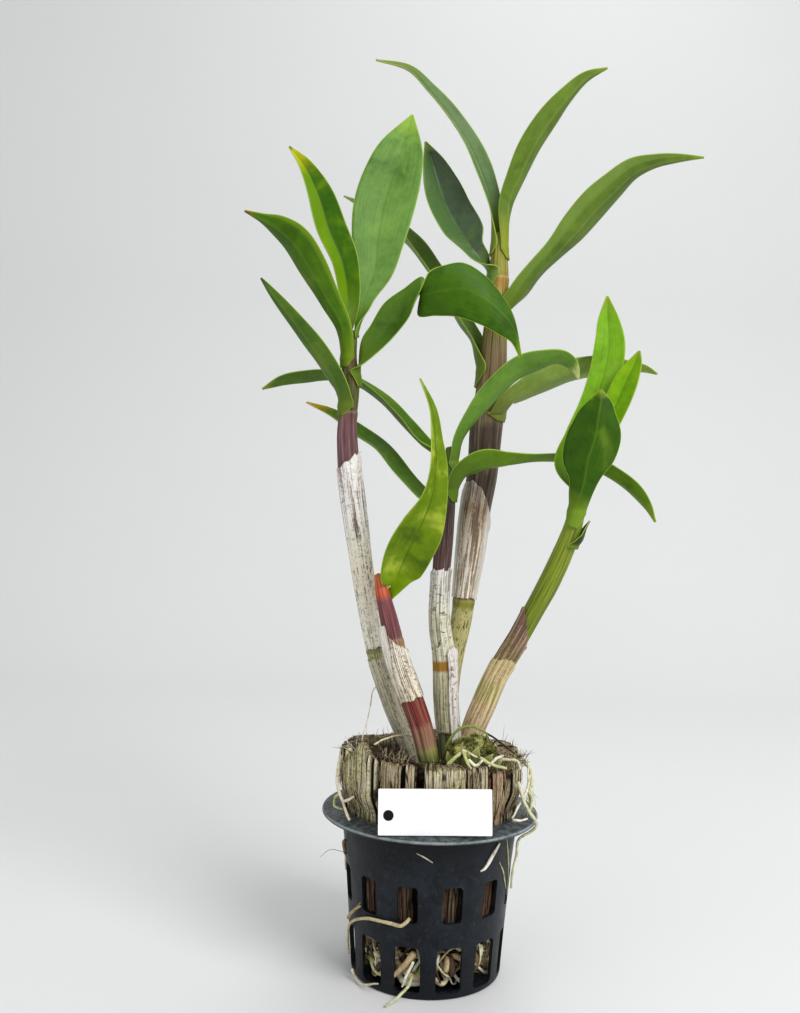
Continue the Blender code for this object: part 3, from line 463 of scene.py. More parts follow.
# Leaves: cane, height of foot, heading of the blade in degrees from +X, half angle that the base
# clasps, height of the clasp, bend of the channel, fold at the midrib, and stations along the
# blade: (x, y, z, half width, turn), turn 0 with the inner face to the front.
leafRows = {
    "leaf_a1": ("a", 292, 218, 85, 2.5, 15, 14, [(-48, -9, 306, 4.5, 155),
        (-55, -12, 319, 6.4, 150), (-64, -17, 334, 8.6, 145), (-71, -20, 344, 9.0, 140),
        (-79, -22, 350, 6.4, 135), (-86, -24, 353, 2.9, 135), (-94, -25, 356, 0.6, 135)]),
    "leaf_a2": ("a", 302, 178, 72, 2.0, 15, 22, [(-46, -3, 321, 5.9, 25), (-49, -4, 339, 8.0, 25),
        (-56, -4, 355, 9.0, 20), (-62, -4, 372, 7.2, 20), (-69, -3, 385, 4.1, 20),
        (-77, -3, 394, 0.6, 20)]),
    "leaf_a3": ("a", 303, 8, 68, 2.0, 12, 6, [(-38.5, 1, 322, 4.4, 0), (-34, 4, 338, 9.6, 0),
        (-33, 7, 354, 13.6, 0), (-30.6, 10, 371, 15.4, 0), (-26.6, 12, 387, 14.5, 0),
        (-22.4, 14, 402, 10.6, 0), (-18, 15, 418, 0.6, 0)]),
    "leaf_a5": ("a", 269, 215, 80, 3.0, 16, 10, [(-49.5, -9, 279, 6.0, 130),
        (-57, -13, 291, 6.3, 135), (-66.5, -16, 303, 5.2, 140), (-75.5, -19, 313.5, 3.6, 145),
        (-81.5, -21, 320.5, 2.1, 150), (-86, -22, 326, 0.6, 150)]),
    "leaf_b1": ("b", 177, 45, 36, 2.0, 15, 10, [(-19, -14, 184, 3.2, 5),
        (-18.8, -18.5, 187.5, 8.0, 20), (-17.4, -22, 192, 10.4, 20), (-13.8, -26, 201.5, 11.6, 15),
        (-8.6, -29, 212.5, 11.0, 20), (-3.6, -30, 226, 8.0, 35), (-2, -30, 240, 6.7, 50),
        (-3, -29, 253, 4.6, 50), (-5, -28, 267, 2.8, 50), (-11, -26, 281, 0.6, 50)]),
    "leaf_c1": ("c", 243, 160, 80, 2.5, 18, 26, [(-8, 6, 254, 5.9, 60), (-17, 12, 264, 6.8, 65),
        (-29, 20, 276.5, 6.2, 70), (-43, 28, 286, 6.2, 78), (-57, 34, 289.5, 8.2, 85),
        (-70, 38, 288.5, 8.6, 88), (-82, 41, 286.5, 6.6, 92), (-93, 43, 282, 0.8, 95)]),
    "leaf_c2": ("c", 219, 170, 72, 2.5, 18, 14, [(-6, 5, 226, 6.9, 60), (-18, 10, 238, 7.4, 60),
        (-29, 16, 251, 7.5, 60), (-41, 20, 259, 7.1, 60), (-54, 24, 268, 5.1, 60),
        (-68, 27, 274, 0.6, 60)]),
    "leaf_c4": ("c", 243, 335, 75, 2.0, 16, 10, [(9.4, -5, 256.5, 4.2, -130),
        (17.8, -9, 270, 6.6, -130), (26.6, -10.5, 280.6, 7.8, -130), (35.4, -11, 288.4, 8.5, -125),
        (46, -10, 292.6, 7.9, -120), (55.5, -9, 294.8, 5.8, -120), (61.8, -8, 291.5, 4.0, -120),
        (65, -8, 285, 0.6, -120)]),
    "leaf_c5": ("c", 229, 335, 75, 2.5, 16, 14, [(11, -6, 239, 6.8, -130),
        (20, -7, 244, 9.0, -125), (31, -5, 245, 8.0, -115), (44, 0, 247, 5.6, -100),
        (55, 6, 248, 6.4, -100), (70, 9, 248, 7.6, -110), (85, 8, 241, 7.4, -110),
        (95, 6, 234, 6.4, -115), (102, 4, 226, 3.4, -120), (106, 2, 218, 0.6, -120)]),
    "leaf_d1": ("d", 353, 175, 75, 2.0, 16, 25, [(24, 12, 371, 4.8, 35), (18.6, 13, 388, 6.8, 35),
        (11.4, 14, 404, 6.8, 38), (1.2, 14, 418.6, 6.0, 40), (-9.6, 14, 430.6, 4.6, 40),
        (-20.5, 14, 440.6, 3.0, 40), (-37, 13, 444, 0.6, 40)]),
    "leaf_d2": ("d", 351, 350, 75, 2.0, 16, 14, [(30, 11, 373, 5.2, -140),
        (34.6, 9, 386.6, 6.8, -135), (40.8, 7, 401, 8.0, -135), (48.8, 5, 414, 7.2, -135),
        (57.4, 3, 425, 5.6, -130), (66, 2, 433.6, 3.3, -130), (76, 1, 438, 0.6, -130)]),
    "leaf_d3": ("d", 319, 350, 80, 2.5, 16, 14, [(38, 11, 330, 9.2, -120),
        (46, 10, 341, 8.0, -125), (55, 9, 351, 8.0, -130), (64, 8, 361.6, 10.2, -135),
        (73, 7, 372.4, 11.0, -135), (82, 6, 381.6, 9.8, -130), (91, 5, 389.8, 7.9, -125),
        (102, 4, 394, 5.1, -120), (113, 4, 396, 3.0, -120), (125, 4, 397, 0.6, -120)]),
    "leaf_d4": ("d", 338, 195, 72, 2.0, 15, 16, [(14, 7, 350, 6.0, 10), (9.2, 12, 359, 11.0, 15),
        (2, 16, 372, 11.7, 15), (-2.8, 20, 385, 10.2, 15), (-6.4, 22, 396, 6.8, 15),
        (-11, 24, 408, 0.6, 15)]),
    "leaf_d5": ("d", 290, 160, 80, 2.5, 16, 22, [(17, 17, 306, 8.0, 60), (10, 19, 317, 9.1, 60),
        (2, 22, 332, 8.8, 55), (-7, 24, 345, 8.9, 55), (-17, 26, 358, 9.2, 60),
        (-34, 28, 372, 7.3, 65), (-52, 30, 381, 0.7, 65)]),
    "leaf_d6": ("d", 268, 330, 66, 2.5, 16, 12, [(34, 3, 276, 7.8, -120), (43, 6, 282, 8.7, -130),
        (55, 9, 288, 9.5, -130), (68, 12, 292, 9.0, -125), (80, 14, 294, 8.4, -120),
        (92, 15, 294, 7.0, -115), (101, 15, 294, 4.1, -110), (108, 15, 292, 0.7, -110)]),
    "leaf_e1": ("e", 230, 110, 72, 2.0, 14, 10, [(61, -2, 244, 6.4, 10), (67, 0, 257, 7.8, 5),
        (74, 1, 273, 7.8, 0), (79, 1, 289, 8.1, 0), (81, 1, 304, 7.8, 0), (80, 1, 316, 5.4, 0),
        (79, 0, 327, 0.6, 0)]),
    "leaf_e2": ("e", 232, 322, 60, 1.5, 14, 12, [(72, -7, 244, 4.4, -10), (78, -6, 261, 5.8, -10),
        (84, -6, 275, 6.4, -15), (88, -6, 285, 6.1, -20), (92, -6, 294, 3.6, -20),
        (94, -6, 300, 0.6, -20)]),
    "leaf_e3": ("e", 222, 250, 75, 2.0, 14, 8, [(67, -17, 236, 7.0, 180),
        (68, -19, 246, 12.1, 180), (71, -20, 257, 13.0, 180), (72, -21, 266, 10.2, 180),
        (73, -21, 273, 6.0, 180), (73, -21, 279, 0.6, 180)]),
    "bract_e": ("e", 206, 350, 80, 2.0, 18, 10, [(69.4, -7.4, 213, 3.4, -90),
        (72, -8.6, 217.8, 0.6, -90)]),
}
# The leaf that turns over in mid-length, by its two margins: near point, far point, bulge.
twistedBase = ("a", 284, 335, 62, 2.0)
twistedMargins = [
    (-38, -11, 289, -39.5, -8, 300, 1.2), (-28, -16, 297, -35, -10, 308, 2.0),
    (-22, -20, 303, -29, -12, 318, 2.4), (-17, -29, 309, -19, -14, 325, 1.6),
    (-15, -34, 314, -11, -16, 330, 0.6), (-12, -38, 320, -10, -18, 322, 0.8),
    (-9, -38, 327, -13, -23, 311, -1.2), (-2, -36, 331, -5, -29, 309.5, -2.2),
    (7, -33, 333, 5, -33, 308.5, -2.6), (17, -31, 328, 16, -33, 305, -2.4),
    (25, -29, 320, 24, -32, 301, -1.8), (31, -28, 310, 30, -30, 298, -0.9),
    (35.2, -28, 291.7, 34.2, -28, 291.0, 0.0),
]
bladeSettings = {
    "across": 16, "along": 72, "twistedAlong": 110, "clear": 0.9, "centre": 0.55,
    "tipWidth": 0.25, "middleThick": 0.75, "marginThick": 0.32, "groove": 0.28, "wave": 0.22,
}


# Unit vector square to the leaf's run: at turn 0 the one nearest to the front.
def frontTurned(run, turn):
    front = squareTo(np.array([0.0, -1.0, 0.0]), run)
    turn = math.radians(turn)
    return front * math.cos(turn) + np.cross(run, front) * math.sin(turn)


# Rows along a leaf: centre, half width, inner normal, bend, fold, centring. The first rows hug
# the cane, from a sleeve that closes almost round it up to the clasp that the blade leaves from.
def bladeTable(cane, foot, heading, wrap, clasp, channel, fold, stations, sleeve):
    outward = tubePoints(math.radians(heading), 1.0, 0.0)
    length, closing = sleeve
    hugging = [(foot - length * share, wrap + (closing - wrap) * share)
               for share in (1.0, 0.66, 0.33) if length > 0]
    rows = []
    for height, half in hugging + [(foot, wrap), (foot + clasp, wrap)]:
        centre, direction, radius = caneAt(cane, height)
        away = squareTo(outward, direction)
        ring = radius + bladeSettings["clear"] - 0.25 * (height < foot)
        half = math.radians(half)
        rows.append([*(centre + away * ring), half * ring, *(-away), half, 0.0, 0.0])
    line = np.array([row[:3] for row in rows] + [station[:3] for station in stations], float)
    for here, (x, y, z, half, turn) in enumerate(stations, len(rows)):
        run = unit(line[min(here + 1, len(line) - 1)] - line[here - 1])
        rows.append([x, y, z, half, *frontTurned(run, turn), math.radians(channel),
                     math.radians(fold), bladeSettings["centre"]])
    return np.array(rows)


# Grid of a blade: each cross-section is an arc of the row's half width and bend, each half of it
# folded up about the midrib, and lowered so that the leaf's line lies amid its depth.
def bladeSurface(table, across, along):
    rows = smoothCurve(table, shares(along + 1))
    line = rows[:, :3]
    half = np.maximum(rows[:, 3], bladeSettings["tipWidth"])[:, None]
    run = unit(np.gradient(line, axis=0))
    normal = squareTo(rows[:, 4:7], run)
    side = np.cross(normal, run)
    u = np.linspace(-1.0, 1.0, across + 1)
    bend = np.maximum(rows[:, 7], 0.01)[:, None]
    x = half / bend * np.sin(np.abs(u) * bend)
    y = half / bend * (1.0 - np.cos(np.abs(u) * bend))
    fold = rows[:, 8][:, None]
    x, y = x * np.cos(fold) - y * np.sin(fold), x * np.sin(fold) + y * np.cos(fold)
    y = y - np.clip(rows[:, 9], 0.0, 1.0)[:, None] * y[:, -1:]
    grid = (line[:, None, :] + (x * np.sign(u))[:, :, None] * side[:, None, :]
            + y[:, :, None] * normal[:, None, :])
    return grid, half, u, normal


# Grid of the leaf that turns over: middle of each row, vector to the near margin, and bulge of
# the middle, which is square to both the leaf's run and its width.
def twistedSurface(base, margins, across, along):
    cane, foot, heading, wrap, clasp = base
    outward = tubePoints(math.radians(heading), 1.0, 0.0)
    rows = []
    for height, part in ((foot - 5.0, 0.3), (foot - 1.0, 0.75), (foot + clasp, 1.0)):
        centre, direction, radius = caneAt(cane, height)
        away = squareTo(outward, direction)
        near = np.cross(away, direction)
        ring = radius + bladeSettings["clear"] + 0.25
        half = math.radians(part * wrap)
        rows.append([*(centre + away * ring * math.cos(half)), *(near * ring * math.sin(half)),
                     *(away * ring * (1.0 - math.cos(half)))])
    points = np.array(margins, float)
    middles = 0.5 * (points[:, :3] + points[:, 3:6])
    for index, middle in enumerate(middles):
        run = middles[min(index + 1, len(middles) - 1)] - middles[max(index - 1, 0)]
        half = 0.5 * (points[index, :3] - points[index, 3:6])
        rows.append([*middle, *half, *(unit(np.cross(run, half)) * abs(points[index, 6]))])
    rows = smoothCurve(rows, shares(along + 1))
    u = np.linspace(1.0, -1.0, across + 1)
    flat = u[None, :, None]
    grid = rows[:, None, :3] + flat * rows[:, None, 3:6] + (1.0 - flat * flat) * rows[:, None, 6:9]
    normal = unit(np.cross(rows[:, 3:6], np.gradient(rows[:, :3], axis=0)))
    return grid, np.linalg.norm(rows[:, 3:6], axis=1)[:, None], u, normal


# A leaf's look where its own row says nothing.
leafUsual = {"rough": 0.42, "shine": 0.14, "mottle": 0.28, "mottled": (132, 158, 44), "dark": 0.4,
             "ribShare": 0.3, "ribTone": (112, 146, 50), "footEnd": 0.1, "foot": (104, 128, 40),
             "tipStart": 0.92, "tipShare": 0.8, "tip": (132, 150, 44), "margin": (160, 188, 72)}


# Leaf skin: inner and outer green by the side of the sheet, fine veins along the blade, soft
# blotches, a line at the midrib, a thin bright margin, and its own foot and tip.
def leafShade(name, look):
    look = {**leafUsual, **look}
    newShade(name, look["rough"])
    across, along, back = mark("across"), mark("along"), mark("back")
    spot = place()
    veins = noise(joined(times(across, 11.0), times(along, 1.3), 0.0), 2.4, 3.0, 0.6)
    patches = noise(spot, 60.0, 3.0, 0.6, 0.4)
    cloud = noise(spot, 260.0, 4.0, 0.65)
    grain = noise(spot, 1500.0, 2.0)
    colour = blend(back, look["inner"], look["outer"])
    colour = darken(between(veins, 0.36, 0.64, 0.3, 0.0), colour, (176, 186, 160))
    colour = darken(between(cloud, 0.38, 0.62, 0.28, 0.0), colour, (176, 188, 160))
    colour = blend(between(patches, 0.48, 0.72, 0.0, look["mottle"]), colour, look["mottled"])
    colour = darken(between(patches, 0.28, 0.46, look["dark"], 0.0), colour, (150, 168, 140))
    # band and half: partly the leaf's own colour, partly painted light and shade on the fold's
    # sides
    if "band" in look:
        sign, start, tone, share = look["band"]
        band = between(times(across, sign), start, start + 0.22, 0.0, share)
        colour = blend(band, colour, tone)
    if "half" in look:
        sign, tone, share = look["half"]
        colour = blend(between(times(across, sign), -0.04, 0.06, 0.0, share), colour, tone)
    colour = blend(between(mark("rib"), 0.2, 0.7, look["ribShare"], 0.0), colour, look["ribTone"])
    footEnd = look["footEnd"]
    colour = blend(between(along, footEnd, footEnd + 0.16, 0.75, 0.0), colour, look["foot"])
    tip = plus(along, times(minus(cloud, 0.5), 0.1))
    colour = blend(between(tip, look["tipStart"], 0.985, 0.0, look["tipShare"]), colour,
                   look["tip"])
    if "point" in look:
        colour = blend(between(tip, 0.968, 0.985), colour, look["point"])
    colour = blend(between(mark("edge"), 0.12, 0.42, 0.75, 0.0), colour, look["margin"])
    rough = plus(between(cloud, 0.3, 0.7, look["rough"] - 0.07, look["rough"] + 0.1),
                 times(back, 0.06))
    return finishShade(colour, look["shine"], plus(veins, times(grain, 0.25)), 0.0002, 0.45, rough)


leafLooks = {
    "leaf_a1": {"inner": (84, 124, 10), "outer": (72, 112, 6), "foot": (112, 138, 22), "band": (1,
        0.62, (118, 150, 30), 0.5), "tip": (124, 116, 30), "mottle": 0.35, "point": (120, 84, 40)},
    "leaf_a2": {"inner": (64, 110, 2), "outer": (76, 118, 16), "half": (1, (112, 150, 2), 0.6),
        "tip": (200, 194, 24), "tipStart": 0.8, "ribTone": (52, 88, 4), "ribShare": 0.5,
        "point": (122, 84, 40), "mottle": 0.4, "mottled": (134, 164, 8)},
    # leaf_a3: its pale grey-green tones are partly its own colour and partly painted sheen
    "leaf_a3": {"inner": (106, 146, 66), "outer": (98, 136, 62), "tip": (146, 184, 66),
        "tipStart": 0.86, "foot": (96, 132, 34), "ribTone": (74, 116, 36), "rough": 0.46,
        "mottled": (138, 178, 84), "dark": 0.6, "footEnd": 0.06},
    "leaf_a4": {"inner": (84, 122, 34), "outer": (62, 102, 2), "ribTone": (98, 132, 26),
        "tip": (104, 136, 12), "ribShare": 0.2, "margin": (164, 192, 62), "mottled": (88, 132, 10),
        "dark": 0.55, "foot": (96, 122, 26)},
    "leaf_a5": {"inner": (70, 104, 26), "outer": (74, 106, 34), "tip": (66, 66, 50),
        "tipStart": 0.9, "foot": (98, 114, 30), "dark": 0.7},
    "leaf_b1": {"inner": (106, 134, 6), "outer": (120, 150, 36), "mottle": 0.8,
        "mottled": (176, 190, 64), "foot": (130, 168, 10), "tip": (140, 166, 60),
        "ribTone": (62, 92, 4), "ribShare": 0.6, "dark": 0.7},
    "leaf_c1": {"inner": (80, 122, 16), "outer": (80, 112, 32), "foot": (80, 110, 22),
        "margin": (166, 194, 66)},
    "leaf_c2": {"inner": (74, 110, 24), "outer": (78, 112, 30), "tip": (222, 172, 30),
        "tipStart": 0.84},
    "leaf_c4": {"inner": (92, 132, 38), "outer": (102, 142, 52), "tip": (226, 222, 150),
        "tipStart": 0.9, "tipShare": 0.9, "mottled": (126, 164, 54)},
    "leaf_c5": {"inner": (92, 126, 16), "outer": (96, 132, 22), "foot": (78, 100, 26),
        "mottled": (140, 168, 26)},
    "leaf_d1": {"inner": (98, 128, 68), "outer": (92, 114, 54), "tip": (116, 132, 40),
        "tipStart": 0.72, "foot": (124, 136, 28), "rough": 0.34, "shine": 0.3,
        "mottled": (108, 138, 76)},
    "leaf_d2": {"inner": (104, 132, 42), "outer": (102, 128, 42), "foot": (140, 146, 28),
        "ribTone": (136, 158, 74), "mottled": (124, 150, 56)},
    "leaf_d3": {"inner": (96, 124, 42), "outer": (92, 118, 38), "foot": (96, 116, 24), "band": (-1,
        0.35, (118, 144, 64), 0.5), "ribTone": (132, 154, 72)},
    "leaf_d4": {"inner": (66, 86, 58), "outer": (56, 80, 34), "half": (1, (64, 98, 38), 0.85),
        "band": (1, 0.5, (92, 134, 54), 0.7), "rough": 0.32, "shine": 0.35, "mottle": 0.1,
        "foot": (108, 138, 36), "ribTone": (76, 106, 56)},
    # leaf_d5: its paler tip tone from 0.6 of its length is painted light where it faces away
    "leaf_d5": {"inner": (104, 134, 46), "outer": (104, 134, 56), "half": (-1, (84, 110, 48),
        0.55), "foot": (98, 118, 34), "tip": (146, 174, 84), "tipStart": 0.6},
    "leaf_d6": {"inner": (126, 154, 60), "outer": (134, 158, 70), "foot": (110, 114, 48),
        "ribTone": (146, 166, 88), "mottled": (146, 166, 84)},
    "leaf_e1": {"inner": (124, 176, 30), "outer": (132, 176, 76), "ribTone": (84, 132, 12),
        "foot": (104, 138, 46), "margin": (168, 206, 68), "ribShare": 0.5,
        "mottled": (158, 198, 66)},
    "leaf_e2": {"inner": (114, 166, 2), "outer": (92, 134, 10), "ribTone": (78, 124, 4),
        "ribShare": 0.6, "mottled": (158, 192, 18)},
    "leaf_e3": {"inner": (58, 96, 0), "outer": (52, 90, 0), "ribTone": (96, 134, 20),
        "foot": (122, 152, 40), "footEnd": 0.14, "ribShare": 0.3, "margin": (166, 196, 66)},
    "bract_e": {"inner": (54, 74, 16), "outer": (46, 64, 14), "tip": (104, 80, 46)},
}
leafSleeves = {"leaf_a1": (4, 34), "leaf_a5": (4, 30), "leaf_c1": (4, 34), "leaf_c2": (5, 32),
               "leaf_c4": (4, 34), "leaf_c5": (4, 28), "leaf_d1": (5, 34), "leaf_d2": (5, 34),
               "leaf_d3": (7, 38), "leaf_d4": (6, 34), "leaf_d5": (8, 36), "leaf_d6": (2, 22),
               "leaf_e1": (3, 34), "leaf_e2": (2, 34), "leaf_e3": (7, 30)}


def addLeaf(name, look):
    settings = bladeSettings
    if name == "leaf_a4":
        grid, half, u, normal = twistedSurface(twistedBase, twistedMargins, settings["across"],
                                               settings["twistedAlong"])
    else:
        table = bladeTable(*leafRows[name], leafSleeves.get(name, (0, 0)))
        grid, half, u, normal = bladeSurface(table, settings["across"], settings["along"])
    share = shares(len(grid))[:, None] + 0.0 * u
    edge = (1.0 - np.abs(u)) * half
    rib = np.abs(u) * half
    # the midrib lies in a groove, and the margins wave a little
    dent = -settings["groove"] * np.exp(-(rib / 0.7) ** 2) * easeBetween(half, 1.0, 4.0)
    swing = np.sin(np.abs(u) * 0.8 + share * 23.0 + len(name)) * u**2 * np.sign(u)
    ripple = settings["wave"] * swing * easeBetween(half, 2.0, 8.0)
    free = easeBetween(share, 0.16, 0.34)
    grid = grid + normal[:, None, :] * ((dent + ripple) * free)[:, :, None]
    thin, thick = settings["marginThick"], settings["middleThick"]
    thickness = thin + (thick - thin) * (1.0 - np.abs(u) ** 2.5)
    marks = {"across": u + 0.0 * share, "along": share, "edge": edge, "rib": rib}
    points, faceSets, both = thickSheet(grid, thickness, marks)
    # the sheet's first side is the inner face where its normal agrees with the leaf's own
    if np.sum(crossed(grid) * normal[:, None, :]) < 0.0:
        both["back"] = 1.0 - both["back"]
    addPiece(name.replace("_", "-") + "-blade", (points, faceSets, both),
             leafShade(name + "_skin", look), [name])


for leafName, leafLook in leafLooks.items():
    addLeaf(leafName, leafLook)
print("leaves built")


# Cane skin: colour bands by height, lengthwise stripes, and at each joint a pale ring with painted
# shade in the crease above it. The net is the height up to which loose fibres lie on it; ringed is
# how strongly the joints show.
caneBands = {
    "a": [(96, (128, 132, 88)), (112, (150, 146, 112)), (146, (168, 164, 128)), (149,
        (92, 98, 46)), (154, (100, 104, 54)), (156, (150, 144, 112)), (200, (96, 60, 66)), (236,
        (104, 66, 72)), (262, (112, 74, 78)), (268, (110, 80, 66)), (272, (96, 104, 40)), (290,
        (108, 92, 56)), (306, (104, 126, 34))],
    "b": [(96, (78, 100, 34)), (105, (104, 118, 48)), (109, (150, 146, 84)), (111, (150, 118, 90)),
        (119, (146, 96, 74)), (121.5, (122, 44, 28)), (132, (116, 38, 24)), (134, (150, 130, 84)),
        (155, (176, 130, 46)), (158, (150, 104, 84)), (161, (112, 58, 64)), (177, (122, 62, 66)),
        (181, (206, 84, 46)), (190, (222, 124, 80))],
    "c": [(96, (104, 108, 70)), (144, (112, 118, 76)), (145, (146, 104, 28)), (149,
        (146, 104, 28)), (150, (116, 120, 86)), (186, (96, 84, 70)), (192, (88, 58, 58)), (206,
        (78, 54, 52)), (222, (62, 48, 40)), (230, (72, 96, 34)), (252, (84, 116, 34))],
    "d": [(96, (132, 124, 90)), (128, (122, 116, 70)), (150, (110, 106, 52)), (170,
        (106, 104, 40)), (174, (132, 134, 36)), (177, (140, 132, 52)), (180, (118, 102, 80)), (206,
        (86, 66, 54)), (236, (78, 62, 50)), (262, (72, 58, 46)), (266, (108, 92, 62)), (270,
        (110, 88, 60)), (300, (128, 108, 72)), (312, (120, 116, 48)), (316, (176, 166, 84)), (326,
        (168, 158, 70)), (334, (172, 128, 48)), (340, (160, 150, 56)), (360, (128, 142, 42))],
    "e": [(96, (176, 122, 92)), (112, (182, 146, 98)), (126, (176, 150, 92)), (146,
        (130, 126, 54)), (158, (120, 134, 32)), (178, (112, 130, 22)), (204, (132, 150, 34)), (226,
        (124, 152, 44)), (238, (116, 146, 40))],
}
caneNets = {"a": 150.0, "d": 171.0}
canePales = {"a": (206, 186, 166), "b": (216, 178, 168), "c": (200, 180, 164),
             "d": (194, 178, 144), "e": (196, 204, 92)}
ringed = {"a": 0.3, "b": 0.25, "c": 0.3, "d": 0.35, "e": 0.2}
caneSettings = {"sides": 44, "step": 0.8, "swell": 0.25, "ridges": 11}


def caneShade(cane):
    newShade(f"cane_{cane}_look", 0.42)
    low = caneRows[cane][0][2]
    high = caneRows[cane][-1][2]
    height = mark("height")
    drift = minus(noise(place(), 260.0, 3.0), 0.5)
    share = maths("DIVIDE", minus(height, low), high - low)
    wander = plus(share, times(drift, 0.02))
    stops = [((level - low) / (high - low), tone) for level, tone in caneBands[cane]]
    colour = ramp(wander, stops)
    # stripes run up the cane: noise that is fine round it and long up it
    stripes = noise(wound(6.0, 0.02), 1.0, 3.0, 0.62)
    threads = noise(wound(15.0, 0.035, 3.0), 1.0, 2.0, 0.6)
    colour = darken(between(stripes, 0.34, 0.52, 0.85, 0.0), colour, (150, 142, 132))
    colour = blend(between(stripes, 0.54, 0.7, 0.0, 0.5), colour,
                   blend(0.5, colour, canePales[cane]))
    colour = darken(between(threads, 0.34, 0.42, 0.7, 0.0), colour, (116, 104, 92))
    colour = blend(between(threads, 0.6, 0.68, 0.0, 0.35), colour, canePales[cane])
    if cane in caneNets:
        net = times(fibreNet(), between(height, caneNets[cane], caneNets[cane] + 3.0, 0.85, 0.0))
        colour = blend(net, colour, (194, 186, 126))
    joint = times(mark("ring"), ringed[cane])
    colour = blend(joint, colour, (206, 196, 150))
    # painted shade in the crease just above each joint
    colour = blend(times(mark("creaseShade"), ringed[cane]), colour, (52, 40, 34))
    rough = between(stripes, 0.3, 0.7, 0.4, 0.56)
    return finishShade(colour, 0.28, plus(stripes, threads), 0.0005, 0.7, rough)


def addCane(cane):
    settings = caneSettings
    levels = np.arange(caneRows[cane][0][2], caneRows[cane][-1][2], settings["step"])
    centre, direction, radius = caneAt(cane, levels)
    sides = settings["sides"]
    turn = 2.0 * np.pi * np.arange(sides) / sides
    square = squareTo(tubePoints(turn, 1.0, 0.0), direction[:, None, :])
    swell, ring, dark = np.zeros((3, len(levels)))
    for joint in caneJoints[cane]:
        away = levels - joint
        crease = np.exp(-((away - 1.9) / 0.5) ** 2)
        swell += settings["swell"] * np.exp(-(away / 1.6) ** 2) - 0.2 * crease
        ring += np.exp(-((away - 0.9) / 0.45) ** 2)
        # dark: where the painted shade goes, in the crease just above the joint
        dark += crease
    crinkle = softNoise(tubePoints(turn, 2.5, levels[:, None] / 26.0), 0.5, 3)
    ridge = 0.1 * np.cos(settings["ridges"] * turn) + 0.1 * crinkle
    reach = (radius + swell)[:, None] + ridge
    rings = centre[:, None, :] + square * reach[:, :, None]
    points, faceSets = closedRings(rings, centre[0], centre[-1] + direction[-1] * 0.8)
    spread = lambda value: np.concatenate([np.repeat(value, sides), value[[0, -1]]])
    marks = {"height": spread(levels), "ring": np.clip(spread(ring), 0, 1) * 0.8,
             "creaseShade": np.clip(spread(dark), 0, 1) * 0.6,
             "around": np.append(np.tile(np.arange(sides) / sides, len(levels)), [0.0, 0.0])}
    addPiece(f"cane-{cane}-stem", (points, faceSets, marks), caneShade(cane), [f"cane_{cane}"])


for caneName in caneRows:
    addCane(caneName)
print("canes built")


# Dry sheaths: cane, height of foot and top, slit half angle, slit heading, slant of the top, the
# heading of its highest point, how far it stands off the cane, and how far its foot rises
# towards both margins.
sheathRows = {
    "sheath_a": ("a", 154, 243, 34, 178, 4, 0, 0.6, 0),
    "sheath_b": ("b", 132, 158.5, 30, 100, 5, 190, 0.7, 0),
    "sheath_c": ("c", 114, 191, 22, 120, 1.5, 300, 0.6, 0),
    "sheath_d": ("d", 177.5, 222, 26, 60, 13, 232, 0.7, 0),
    "sheath_e": ("e", 146, 165, 18, 60, 8, 190, 0.6, 0),
}
# Papery layers and flaps that lie over the sheaths, in the same terms.
flapRows = {
    "flap_a": ("a", 98, 150, 14, 80, 2, 0, 0.35, 0),
    "flap_b": ("b", 144, 160, 158, 48, 6, 215, 1.6, 12),
    "flap_c": ("c", 99, 146, 118, 165, 9, 326, 1.35, 0),
    "flap_e": ("e", 99, 147, 12, 60, 3, 300, 0.9, 0),
}
